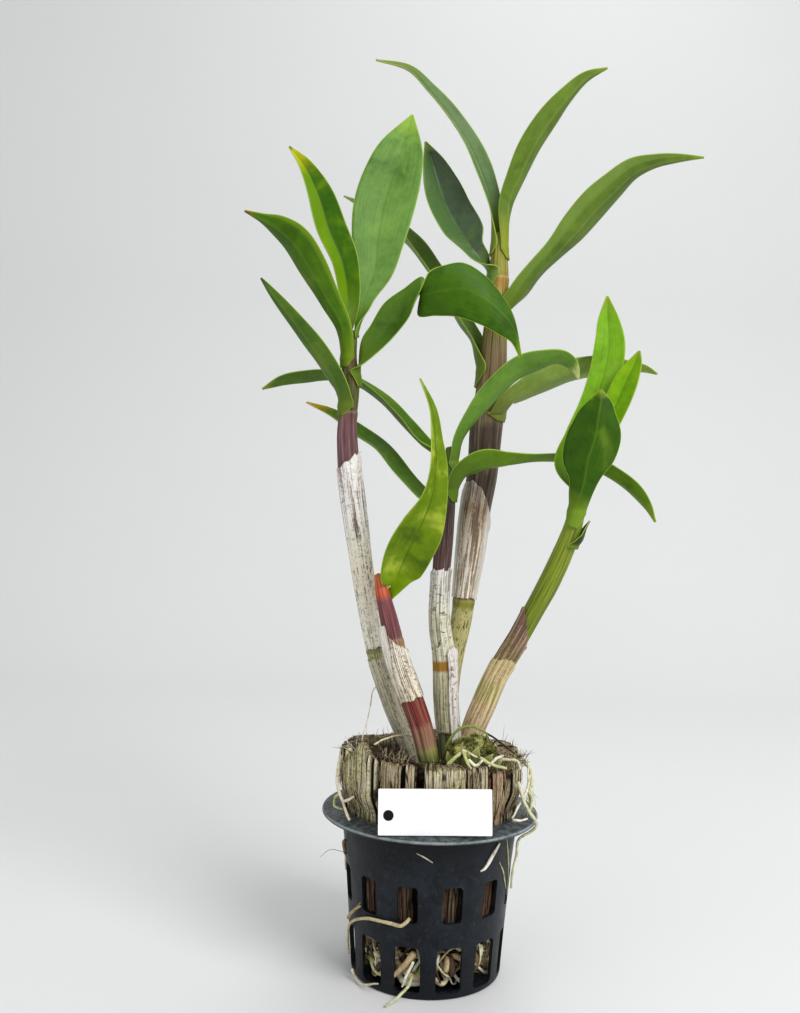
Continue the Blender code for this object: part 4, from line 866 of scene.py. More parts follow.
# Tones by height for the thin, see-through parts and for the white ones; share of white; colour
# and strength of the long lines; heights and share of the net of fibres and of the dark cracks.
sheathLooks = {
    "sheath_a": {"thin": [(154, (138, 130, 98)), (176, (150, 140, 112)), (192, (98, 84, 66)), (208,
        (94, 78, 64)), (222, (140, 116, 110)), (246, (170, 140, 136))], "pale": [(154,
        (244, 240, 222)), (196, (238, 230, 210)), (208, (232, 226, 212)), (218, (244, 241, 235)),
        (246, (246, 243, 238))], "white": 0.45, "line": (86, 76, 60), "lines": 0.6,
        "net": (156, 206, 0.9), "crack": (157, 246, 0.5)},
    "sheath_b": {"thin": [(128, (132, 112, 76)), (158, (146, 120, 92))], "pale": [(128,
        (226, 216, 192)), (158, (238, 230, 214))], "white": 0.46, "line": (88, 66, 42),
        "lines": 0.9, "crack": (134, 160, 0.8)},
    "sheath_c": {"thin": [(114, (104, 108, 70)), (143, (134, 136, 98)), (144.4, (150, 108, 30)),
        (148, (150, 108, 30)), (149.4, (128, 128, 92)), (172, (146, 144, 114)), (178,
        (150, 144, 128)), (191, (156, 148, 136))], "pale": [(114, (206, 200, 168)), (143,
        (212, 206, 172)), (144.4, (164, 118, 36)), (148, (164, 118, 36)), (149.4, (224, 219, 192)),
        (174, (226, 222, 202)), (179, (226, 222, 214)), (191, (236, 232, 228))], "white": 0.46,
        "line": (90, 88, 58), "lines": 0.7, "crack": (150, 186, 0.9)},
    "sheath_d": {"thin": [(177, (166, 148, 124)), (205, (124, 104, 82)), (222, (84, 66, 50)), (236,
        (150, 136, 122))], "pale": [(177, (244, 238, 224)), (204, (216, 204, 184)), (222,
        (160, 138, 114)), (236, (214, 206, 194))], "white": 0.5, "line": (92, 72, 56),
        "lines": 0.8, "sideHighlights": True},
    "sheath_e": {"thin": [(146, (100, 90, 48)), (163, (110, 82, 66))], "pale": [(146,
        (160, 146, 96)), (170, (176, 150, 128))], "white": 0.52, "line": (84, 54, 42),
        "lines": 0.9},
    "flap_a": {"thin": [(98, (104, 98, 66)), (130, (100, 100, 62)), (150, (110, 106, 72))],
        "pale": [(98, (196, 190, 166)), (150, (202, 196, 172))], "white": 0.48,
        "line": (64, 56, 36), "lines": 0.8, "net": (96, 150, 0.6), "crack": (96, 116, 0.7)},
    "flap_b": {"thin": [(138, (176, 158, 128)), (168, (200, 188, 170))], "pale": [(138,
        (232, 226, 210)), (168, (240, 236, 228))], "white": 0.42, "line": (112, 88, 64),
        "lines": 0.7, "crack": (148, 158, 0.8)},
    "flap_c": {"thin": [(99, (150, 140, 128)), (152, (170, 158, 150))], "pale": [(99,
        (212, 206, 196)), (152, (226, 220, 214))], "white": 0.44, "line": (104, 90, 84),
        "lines": 0.5, "crack": (99, 150, 0.85)},
    "flap_e": {"thin": [(99, (176, 112, 88)), (120, (164, 126, 84)), (147, (146, 120, 70))],
        "pale": [(99, (214, 184, 152)), (120, (222, 202, 160)), (147, (216, 198, 148))],
        "white": 0.46, "line": (140, 86, 56), "lines": 0.75, "green": (128, 138, 0.7)},
}
sheathSettings = {"around": 72, "rows": 76, "thick": 0.26}


# Share of a mark's height range, soft at both ends.
def stretch(height, low, high, share):
    return times(between(height, low - 2.0, low + 2.0, 0.0, share),
                 between(height, high - 2.0, high + 2.0, 1.0, 0.0))


# Papery skin: long streaks between a thin and a white tone, dark lines, a net of fibres, torn
# dark cracks, a pale torn edge, and on some, painted highlights down the right and left sides.
def sheathShade(name, look):
    newShade(name + "_look", 0.62)
    height = mark("height")
    low = look["thin"][0][0]
    high = look["thin"][-1][0]
    share = maths("DIVIDE", minus(height, low), high - low)
    tones = [ramp(share, [(min(max((level - low) / (high - low), 0.0), 1.0), tone) for level,
                          tone in look[kind]]) for kind in ("thin", "pale")]
    streaks = noise(wound(4.4, 0.035), 1.0, 5.0, 0.66)
    lines = noise(wound(11.0, 0.016, 7.0), 1.0, 3.0, 0.62)
    crumbs = noise(place(), 620.0, 5.0, 0.7)
    white = plus(streaks, times(minus(crumbs, 0.5), 0.25))
    colour = blend(between(white, look["white"] - 0.05, look["white"] + 0.06), *tones)
    colour = blend(between(lines, 0.36, 0.46, look["lines"], 0.0), colour, look["line"])
    colour = blend(between(lines, 0.56, 0.68, 0.0, 0.4), colour, tones[1])
    if "green" in look:
        green = times(stretch(height, *look["green"]), between(streaks, 0.46, 0.54, 1.0, 0.0))
        colour = blend(green, colour, (134, 140, 60))
    if "net" in look:
        net = times(fibreNet(0.04, 0.13), stretch(height, *look["net"]))
        colour = blend(net, colour, tones[1])
    if "crack" in look:
        torn = noise(scaled(place(), (1.0, 1.0, 1.7)), 330.0, 6.0, 0.75, 0.8)
        crack = times(between(torn, 0.55, 0.61), stretch(height, *look["crack"]))
        colour = blend(crack, colour, (62, 50, 42))
    # painted highlights: the right and left sides of the sheath made paler
    if look.get("sideHighlights"):
        colour = blend(between(mark("side"), 0.5, 0.85, 0.0, 0.8), colour,
                       blend(0.75, colour, (236, 232, 224)))
        colour = blend(between(mark("side"), -0.95, -0.75, 0.7, 0.0), colour, (222, 216, 206))
    colour = blend(between(mark("edge"), 0.1, 0.6, 0.5, 0.0), colour,
                   blend(0.5, tones[1], look["line"]))
    return finishShade(colour, 0.25, plus(plus(streaks, lines), crumbs), 0.0006, 0.8)


# Grid of a sheath: rings of the cane's own shape, open at the slit, the top slanting up to its
# highest heading and torn, the paper a little crumpled, lifting at the slit and at the top.
def addSheath(name, rowsHere, nodes):
    settings = sheathSettings
    cane, low, high, slit, heading, slant, peak, stand, pointed = rowsHere
    share = shares(settings["around"] + 1)[None, :]
    up = shares(settings["rows"])[:, None]
    angle = np.radians(heading + slit + share * (360.0 - 2.0 * slit))
    ragged = tubePoints(angle, 9.0, float(high))
    top = (high + slant * np.cos(angle - math.radians(peak)) + 0.9 * softNoise(ragged, 1.1, 5)
           + 1.5 * softNoise(ragged, 3.4, 6))
    foot = low + 0.8 * softNoise(ragged, 1.3, 8) + pointed * np.abs(2.0 * share - 1.0) ** 1.3
    level = foot + (np.maximum(top, foot + 2.0) - foot) * up
    centre, direction, radius = caneAt(cane, level)
    square = squareTo(tubePoints(angle, 1.0, 0.0), direction)
    crumple = 0.15 * softNoise(tubePoints(angle, 6.0, level / 14.0), 0.7, 11)
    lip = 0.5 * easeBetween(up, 0.9, 1.0) * (0.5 + 0.5 * np.sin(3.0 * angle + 1.0))
    peel = 0.6 * easeBetween(np.abs(2.0 * share - 1.0), 0.86, 1.0) * (0.3 + 0.7 * up)
    grid = centre + square * (radius + stand + crumple + lip + peel)[:, :, None]
    edge = np.minimum(up, 1.0 - up) * (top - foot)
    edge = np.minimum(edge, np.minimum(share, 1.0 - share) * 30.0)
    marks = {"around": angle / (2.0 * math.pi) + 0 * up, "height": level, "edge": edge,
             # side: cosine of the heading, which places the painted highlights on the right and
             # left
             "side": np.cos(angle) + 0 * up}
    addPiece(name.replace("_", "-") + "-skin", thickSheet(grid, settings["thick"], marks),
             sheathShade(name, sheathLooks[name]), nodes)


for sheathName, sheathRow in sheathRows.items():
    addSheath(sheathName, sheathRow, [sheathName])
for flapName, flapRow in flapRows.items():
    addSheath(flapName, flapRow, [])
print("sheaths built")


# Pot wall, as the solid has it.
def potOuter(height):
    return np.interp(height, [0.0, 1.5, 25.0, 55.0, 72.0, 80.0],
                     [34.5, 36.0, 37.7, 40.2, 42.2, 42.8])


# Coconut husk: heading from the front towards +X, half angle, outer radius above the rim, height
# of the top, rise of the top from the outer to the inner edge, then how green, grey and red it is.
huskRows = [
    (-58.5, 19.0, 44.6, 107.0, -2.0, 0.75, 0.9, 0.0),
    (-24.5, 12.5, 41.6, 107.0, 0.5, 0.15, 0.5, 0.4), (7.5, 14.0, 41.8, 106.0, 0.0, 1.0, 0.5, 0.0),
    (32, 8.5, 39.6, 105.0, 0.5, 0.3, 0.4, 0.1), (50, 7.5, 41.5, 102.0, 1.0, 0.1, 0.5, 0.9),
    (73, 12.5, 44.0, 105.0, 2.0, 0.2, 0.5, 0.2), (105, 16.0, 43.0, 106.0, 1.0, 0.4, 0.5, 0.0),
    (143, 18.0, 42.5, 104.0, 1.5, 0.2, 0.4, 0.2), (181, 17.0, 42.0, 106.0, 0.5, 0.5, 0.3, 0.0),
    (220, 18.0, 43.0, 104.0, 2.0, 0.3, 0.5, 0.1), (261, 19.0, 44.0, 106.0, 2.0, 0.6, 0.4, 0.0),
]
huskSettings = {
    "fine": (84, 5, 70), "coarse": (48, 4, 40), "front": (0, 1, 2, 3, 4, 5, 10),
    "foot": 28.0, "inner": 31.2, "split": 0.08, "wallTop": 74.0, "wallDepth": 2.05,
    "lean": (79.5, 91.5), "peak": 0.45, "peakHeight": 7.5, "fallLeft": 10.7, "fallRight": 11.5,
}


# Outer face of a chunk before its relief: inside the wall up to the rim, then out to its own
# radius.
def huskFace(level, flare):
    settings = huskSettings
    wedged = potOuter(np.minimum(level, settings["wallTop"])) - settings["wallDepth"]
    return wedged + (flare - wedged) * easeBetween(level, *settings["lean"])


# Height of a chunk's top edge above its row's height, at a place across it: the first is peaked.
def crownLift(index, across):
    settings = huskSettings
    if index > 0:
        return 0.0 * across
    away = across - settings["peak"]
    return settings["peakHeight"] - np.where(away < 0.0, -settings["fallLeft"] * away,
                                             settings["fallRight"] * away)


# Surface of a block of steps as a lattice: whole-number corners and four-cornered faces.
def blockLattice(*sizes):
    sheets = []
    for fixed, first, second in ((2, 0, 1), (1, 0, 2), (0, 1, 2)):
        one, two = np.meshgrid(np.arange(sizes[first]), np.arange(sizes[second]), indexing="ij")
        for side in (0, sizes[fixed]):
            corners = []
            for stepOne, stepTwo in ((0, 0), (1, 0), (1, 1), (0, 1)):
                spot = np.zeros(one.shape + (3,), int)
                spot[..., fixed] = side
                spot[..., first] = one + stepOne
                spot[..., second] = two + stepTwo
                corners.append(spot.reshape(-1, 3))
            turned = (side > 0) == (fixed != 1)
            sheets.append(np.stack(corners if turned else corners[::-1], 1))
    flat = np.concatenate(sheets).reshape(-1, 3)
    corners, index = np.unique(flat, axis=0, return_inverse=True)
    return corners, index.reshape(-1, 4)


# Husk: tan and brown grain that runs up the chunk, black cracks, painted shade in its grooves,
# splits and chunk sides, yellow-green lichen and grey dust outside, paler on the cut top, and dark
# painted shade on its inner faces and below the rim.
def huskShade():
    newShade("husk_look", 0.9)
    level = mark("level")
    strand = mark("strand")
    spot = place()
    sway = times(noise(spot, 110.0, 3.0), 1.2)
    lanes = joined(plus(strand, sway), times(level, 0.045), 0.0)
    grain = noise(lanes, 0.9, 4.0, 0.62)
    threads = noise(joined(times(strand, 3.1), times(level, 0.07), 2.0), 1.0, 3.0, 0.6)
    crumbs = noise(spot, 800.0, 4.0, 0.7)
    patches = noise(spot, 95.0, 4.0, 0.6)
    broad = noise(joined(times(strand, 0.34), times(level, 0.014), 5.0), 1.0, 2.0)
    rift = borders(joined(times(plus(strand, times(sway, 2.2)), 0.21), times(level, 0.032), 0.0))
    colour = blend(between(grain, 0.36, 0.52), (178, 148, 104), (255, 246, 214))
    colour = blend(between(threads, 0.34, 0.42, 0.5, 0.0), colour, (110, 84, 58))
    colour = blend(between(threads, 0.54, 0.6, 0.0, 0.75), colour, (250, 238, 200))
    colour = darken(between(broad, 0.38, 0.5, 0.75, 0.0), colour, (172, 150, 124))
    colour = darken(times(mark("red"), 0.8), colour, (214, 176, 164))
    dust = times(mark("grey"), between(patches, 0.42, 0.62))
    colour = blend(times(dust, 0.7), colour,
                   blend(between(crumbs, 0.4, 0.6), (160, 154, 114), (236, 228, 196)))
    lichen = times(mark("green"), between(noise(spot, 130.0, 5.0, 0.65), 0.44, 0.56, 0.0, 0.8))
    colour = blend(lichen, colour,
                   blend(between(crumbs, 0.4, 0.56), (168, 162, 80), (252, 246, 186)))
    colour = blend(mark("cut"), colour,
                   blend(between(crumbs, 0.42, 0.58), (66, 48, 33), (168, 146, 110)))
    colour = blend(between(crumbs, 0.3, 0.4, 0.65, 0.0), colour, (64, 46, 31))
    colour = blend(between(rift, 0.01, 0.075, 0.92, 0.0), colour, (22, 15, 10))
    # painted shade: grooves, splits and chunk sides darkened by their depth
    colour = blend(between(mark("groove"), 0.5, 0.85), colour, (18, 12, 8))
    # painted shade: inner faces and hollowed crowns made dark
    colour = blend(mark("innerShade"), colour, (26, 17, 12))
    # painted shade on the husk below the rim, inside the pot, with darker cracks
    belowRimShade = blend(between(grain, 0.44, 0.58), (32, 19, 14), (112, 74, 58))
    belowRimShade = blend(between(rift, 0.03, 0.16, 0.95, 0.0), belowRimShade, (10, 7, 6))
    colour = blend(between(level, 66.0, 80.0, 0.9, 0.0), colour, belowRimShade)
    return finishShade(colour, 0.12, plus(plus(grain, threads), crumbs), 0.001, 1.0)


def addHusk(index, look):
    settings = huskSettings
    heading, half, flare, top, rise, green, grey, red = huskRows[index]
    steps = settings["fine"] if index in settings["front"] else settings["coarse"]
    corners, faces = blockLattice(*steps)
    a = 2.0 * corners[:, 0] / steps[0] - 1.0
    b = corners[:, 1] / steps[1]
    c = corners[:, 2] / steps[2]
    # strands run up the chunk: random depth that is fine round it and long up it, and splits
    # where a slower random value passes through nought
    lane = a * half * 0.7 + index * 61.0
    level = settings["foot"] + (top - settings["foot"]) * c
    spot = np.stack([lane, level / 30.0, 0.0 * lane], -1)
    groove = (0.5 * softNoise(spot, 1.3, 2) + 0.35 * softNoise(spot * (2.3, 1.4, 1.0), 1.0, 3)
              + 0.2 * softNoise(spot * (4.5, 2.0, 1.0), 1.0, 4))
    drift = softNoise(spot * (0.55, 0.5, 1.0), 1.0, 14)
    split = np.exp(-(drift / settings["split"]) ** 2)
    depth = np.clip(0.4 - 0.9 * groove, 0.0, 1.0)
    corner = np.abs(a) ** 14
    lean = easeBetween(level, *settings["lean"])
    crown = easeBetween(c, 0.95, 1.0)
    chip = softNoise(np.stack([lane * 1.6, 0 * lane, 0 * lane], -1), 1.0, 9)
    outer = (huskFace(level, flare) - 0.1 - 1.1 * depth - 1.3 * corner
             - 1.5 * split * (0.4 + 0.6 * lean) - 0.7 * crown * (0.5 + 0.8 * chip))
    inner = settings["inner"] + 0.3 + 0.6 * softNoise(spot, 1.0, 7)
    fray = softNoise(np.stack([lane, 5.0 * b, 0.0 * lane], -1), 1.0, 5)
    hollow = easeBetween(b, 0.85, 0.6) * {0: easeBetween(a, -0.1, 0.5), 1: 1.0}.get(index, 0.0)
    height = (level + crownLift(index, a) * easeBetween(level, 98.0, top)
              + crown * (rise * (1.0 - b) + 0.9 * fray + 0.6 * chip - 0.5 - 1.4 * split
                         - 2.6 * hollow))
    points = polar(heading + a * half, inner + (outer - inner) * b, height)
    # inner faces and hollowed crowns, marked for painted shade
    away = np.maximum(np.where((b > 0.5) | (c > 0.97), 0.0, 0.75), 0.95 * hollow)
    # groove: depth of the grooves, splits and chunk sides on the outer face, for painted shade
    marks = {"groove": np.clip(0.55 * depth + split + corner, 0, 1) * (b > 0.9),
             "green": green + 0 * a, "grey": grey + 0 * a, "red": red + 0 * a,
             "strand": lane * 2.2, "level": level, "cut": 0.7 * (c > 0.995) * (1.0 - hollow),
             "innerShade": away}
    addPiece(f"husk-{index + 1}-chunk", (points, [faces], marks), look, [f"husk_{index + 1}"])


huskLook = huskShade()
for huskIndex in range(len(huskRows)):
    addHusk(huskIndex, huskLook)
print("husk built")


# Roots, fibres and strands share one shade: a tone mark picks from pale root to dark fibre.
def strandShade():
    newShade("strand_look", 0.7)
    tone = mark("tone")
    spot = place()
    colour = ramp(tone, [(0.0, (36, 26, 20)), (0.2, (92, 66, 44)), (0.4, (166, 138, 98)),
                         (0.6, (214, 200, 160)), (0.75, (236, 232, 214)), (0.9, (184, 190, 112)),
                         (1.0, (110, 128, 50))])
    patches = noise(spot, 500.0, 4.0, 0.6)
    colour = darken(between(patches, 0.42, 0.68, 0.0, 0.55), colour, (140, 124, 96))
    return finishShade(colour, 0.3, patches, 0.0003, 0.6)


strandLook = strandShade()

# Loose roots outside the pot: radius and route by heading, height and distance, as the solids.
rootRows = {
    "root_left": (0.85, 0.55, [(-13.5, 37.6, 38.7), (-15.5, 36.0, 39.5), (-18.5, 34.5, 40.35),
        (-25, 34.7, 40.3), (-35, 34.4, 40.2), (-45, 33.3, 40.05), (-57, 30.0, 39.7),
        (-68, 25.2, 39.2), (-75, 19.0, 38.7), (-78, 12.5, 38.15), (-76, 8.5, 37.85)]),
    "root_foot": (0.8, 0.84, [(-12, 9.5, 33.6), (-14, 5.8, 34.8), (-16, 4.4, 36.4),
        (-18, 3.2, 38.2), (-20, 1.9, 40.8), (-21.8, 1.25, 44.2), (-22.8, 1.2, 47.4)]),
    "root_right": (0.85, 0.82, [(61, 96, 45.6), (62, 88, 48.0), (64, 82, 50.6), (66, 78.5, 52.9),
        (67, 75.5, 53.3), (68, 72.5, 50.8), (68, 67.5, 44.8), (70, 60, 43.6), (67, 52, 42.4),
        (70, 44, 41.4)]),
    "root_rim": (0.9, 0.66, [(-67.5, 104.5, 46.2), (-68, 98.8, 47.3), (-66, 92.7, 48.3),
        (-63, 88.2, 47.9), (-59.5, 84.7, 47.3), (-55.5, 80.4, 47.3), (-52, 78.4, 47.6)]),
}


rootSettings = {"steps": 60, "sides": 12}


def addRoot(name):
    radius, tone, stations = rootRows[name]
    share = shares(rootSettings["steps"])
    points = [polar(heading, reach, height) for heading, height, reach in stations]
    path = smoothCurve(points, share)
    slim = radius * (1.0 - 0.35 * share) * (1.0 + 0.12 * softNoise(path, 3.0, 4))
    shape = tubeShape(swayed(path, 0.12, 4.0, 1), slim, rootSettings["sides"], tone)
    addPiece(name.replace("_", "-") + "-loose", shape, strandLook, [name])


for rootName in rootRows:
    addRoot(rootName)
print("roots built")


# Core of the medium: a rough drum of fibre with roots looping round its foot.
coreSettings = {
    "around": 120, "rows": 90, "loops": 190, "seed": 7, "ends": (2.85, 100.5),
    "loopRoom": (3.4, 29.0, 22.0),
    "profile": [(0.0, 2.85), (19.0, 2.85), (23.5, 6.0), (25.5, 12.0), (25.0, 20.0), (26.0, 26.0),
                (29.3, 32.0), (30.0, 50.0), (30.0, 78.0), (30.0, 97.0), (27.0, 100.5),
                (18.0, 101.5), (8.0, 101.0), (0.0, 101.0)],
}


# Near-black fibre: its own dark brown, darkened further as painted shade in the hollow of the
# husk.
def coreShade():
    newShade("core_look", 0.95)
    spot = place()
    fibre = noise(scaled(spot, (1.0, 1.0, 0.25)), 700.0, 4.0, 0.7)
    colour = blend(between(fibre, 0.4, 0.62), (20, 14, 10), (78, 57, 40))
    green = between(noise(spot, 90.0, 3.0), 0.54, 0.68, 0.0, 0.4)
    colour = blend(green, colour, (92, 100, 40))
    return finishShade(colour, 0.15, fibre, 0.0012, 1.0)


def addCore():
    settings = coreSettings
    profile = np.array(settings["profile"])
    length = np.concatenate([[0.0], np.cumsum(np.linalg.norm(np.diff(profile, axis=0), axis=1))])
    places = np.linspace(0.0, length[-1], settings["rows"])[1:-1]
    radius, height = (np.interp(places, length, profile[:, axis])[:, None] for axis in (0, 1))
    turn = np.linspace(0.0, 360.0, settings["around"], endpoint=False)[None, :]
    spot = polar(turn, radius, height)
    rough = 0.9 * softNoise(spot, 5.0, 1) + 0.5 * softNoise(spot, 2.2, 2)
    reach = radius - 0.7 + rough * easeBetween(radius, 3.0, 12.0)
    lift = easeBetween(height, 96.0, 101.0) * (1.6 * softNoise(spot, 6.0, 3) - 1.0)
    ends = [(0.0, 0.0, level) for level in settings["ends"]]
    shape = (*closedRings(polar(turn, reach, height + lift), *ends), {})
    addPiece("core-fibre", shape, coreShade(), ["root_ball"])


addCore()


# Roots that loop through the foot of the pot and show in its lower slots.
def addLoops():
    settings = coreSettings
    draw = np.random.default_rng(settings["seed"])
    lowest, highest, depth = settings["loopRoom"]
    shapes = []
    for index in range(settings["loops"]):
        heading = draw.uniform(0.0, 360.0)
        sweep = draw.uniform(-50.0, 50.0)
        low, high = draw.uniform(lowest, 25.0, 2)
        reach = draw.uniform(29.5, 32.6)
        share = shares(20)
        bulge = np.sin(np.pi * share) ** 0.6
        height = low + (high - low) * share + 3.5 * np.sin(6.0 * share + heading)
        radius = draw.choice([0.45, 0.8, 1.2, 1.7], p=[0.38, 0.34, 0.21, 0.07])
        path = polar(heading + sweep * share, depth + (reach - depth) * bulge,
                     np.clip(height, lowest + radius, highest))
        tone = draw.choice([0.12, 0.3, 0.5, 0.62, 0.74, 0.84, 0.93],
                           p=[0.18, 0.12, 0.12, 0.16, 0.2, 0.1, 0.12])
        taper = 1.0 - 0.35 * np.abs(2.0 * share - 1.0)
        shapes.append(tubeShape(path, radius * taper, 8, tone))
    addPiece("core-roots", joinShapes(shapes), strandLook, [])


addLoops()
print("core built")


# Moss clump: a bumpy cushion with short shoots all over it.
mossSettings = {"centre": (18.5, -18.5, 110.0), "size": (11.5, 6.5, 5.5), "turn": 35.0,
                "grid": (30, 48), "shoots": 900, "seed": 21}


def mossShade():
    newShade("moss_look", 0.9)
    spot = place()
    colour = blend(between(noise(spot, 600.0, 3.0), 0.35, 0.65), (34, 36, 16), (124, 126, 56))
    colour = blend(between(noise(spot, 160.0), 0.48, 0.62, 0.0, 0.75), colour, (196, 192, 120))
    return finishShade(colour, 0.2, noise(spot, 1500.0), 0.0005, 0.8)


def addMoss():
    settings = mossSettings
    draw = np.random.default_rng(settings["seed"])
    rows, columns = settings["grid"]
    turn = math.radians(settings["turn"])
    spin = np.array([[math.cos(turn), -math.sin(turn), 0.0], [math.sin(turn), math.cos(turn), 0.0],
                     [0.0, 0.0, 1.0]])
    tilt = np.pi * (np.arange(rows) + 0.5)[:, None] / rows
    swing = 2.0 * np.pi * np.arange(columns)[None, :] / columns
    way = tubePoints(swing, np.sin(tilt), -np.cos(tilt))
    bump = 1.0 + 0.16 * softNoise(way, 0.5, 1) + 0.1 * softNoise(way, 0.2, 2)
    body = (way * bump[:, :, None] * settings["size"]) @ spin.T + settings["centre"]
    end = (0.0, 0.0, 0.1)
    shapes = [(*closedRings(body, body[0].mean(axis=0) - end, body[-1].mean(axis=0) + end), {})]
    for index in range(settings["shoots"]):
        row = draw.integers(rows // 3, rows)
        column = draw.integers(columns)
        lean = way[row, column] @ spin.T + draw.normal(0.0, 0.45, 3) + (0.0, 0.0, 0.3)
        size = draw.uniform(0.8, 2.2)
        path = body[row, column] + unit(lean) * np.linspace(-0.3, size, 4)[:, None]
        path[2:] += draw.normal(0.0, 0.18, (2, 3))
        radii = draw.uniform(0.12, 0.26) * np.array([1.0, 1.0, 0.8, 0.2])
        shapes.append(tubeShape(path, radii, 4))
    addPiece("moss-clump", joinShapes(shapes), mossShade(), ["moss"])


addMoss()
print("moss built")


# Fibres: hairs along the husk's outer faces, frayed ends on its crown, and wiry strands on top.
fibreSettings = {"seed": 5, "clinging": 320, "lowest": 80.2, "frayed": 280, "wiry": 24,
                 "level": 102.5}


def addFibres():
    settings = fibreSettings
    draw = np.random.default_rng(settings["seed"])
    shapes = []
    for index in range(settings["clinging"]):
        chunk = huskRows[draw.integers(len(huskRows))]
        heading = chunk[0] + draw.uniform(-0.95, 0.95) * chunk[1]
        top = draw.uniform(84.0, chunk[3])
        share = shares(7)
        level = np.maximum(top - draw.uniform(6.0, 22.0) * share, settings["lowest"])
        lift = draw.uniform(0.0, 1.1) * np.sin(np.pi * share) - 0.25
        swing = heading + np.cumsum(draw.normal(0.0, 0.5, 7))
        path = polar(swing, huskFace(level, chunk[2]) + lift, level)
        shapes.append(tubeShape(path, draw.uniform(0.07, 0.17), 4, draw.uniform(0.06, 0.64)))
    for index in range(settings["frayed"]):
        number = draw.integers(len(huskRows))
        chunk = huskRows[number]
        across = draw.uniform(-1.0, 1.0)
        heading = chunk[0] + across * chunk[1]
        radius = draw.uniform(33.0, chunk[2] - 0.6)
        start = polar(heading, radius, chunk[3] + crownLift(number, across) - 1.0)
        lean = polar(heading, draw.uniform(-0.3, 0.9), draw.uniform(0.4, 1.0))
        lean = unit(lean + draw.normal(0.0, 0.35, 3))
        share = shares(5)[:, None]
        bend = draw.normal(0.0, 1.0, 3)
        path = start + lean * share * draw.uniform(1.5, 6.0) + bend * share**2 * 1.2
        radii = draw.uniform(0.05, 0.12) * np.array([1, 1, 1, 0.8, 0.4])
        shapes.append(tubeShape(path, radii, 4, draw.choice([0.02, 0.1, 0.24, 0.5])))
    for index in range(settings["wiry"]):
        heading = draw.uniform(0.0, 360.0)
        sweep = draw.uniform(-80.0, 80.0)
        share = shares(16)
        reach = draw.uniform(24.0, 40.0) + draw.uniform(-8.0, 6.0) * share
        rise = draw.uniform(1.0, 4.0) * np.sin(np.pi * share) ** 0.8 + draw.uniform(-1, 2)
        path = polar(heading + sweep * share, reach, settings["level"] + rise)
        shapes.append(tubeShape(swayed(path, 0.8, 6.0, index + 1), draw.uniform(0.13, 0.34), 5,
                                draw.choice([0.02, 0.12, 0.45, 0.6, 0.72, 0.9])))
    addPiece("husk-fibres", joinShapes(shapes), strandLook, [])


addFibres()

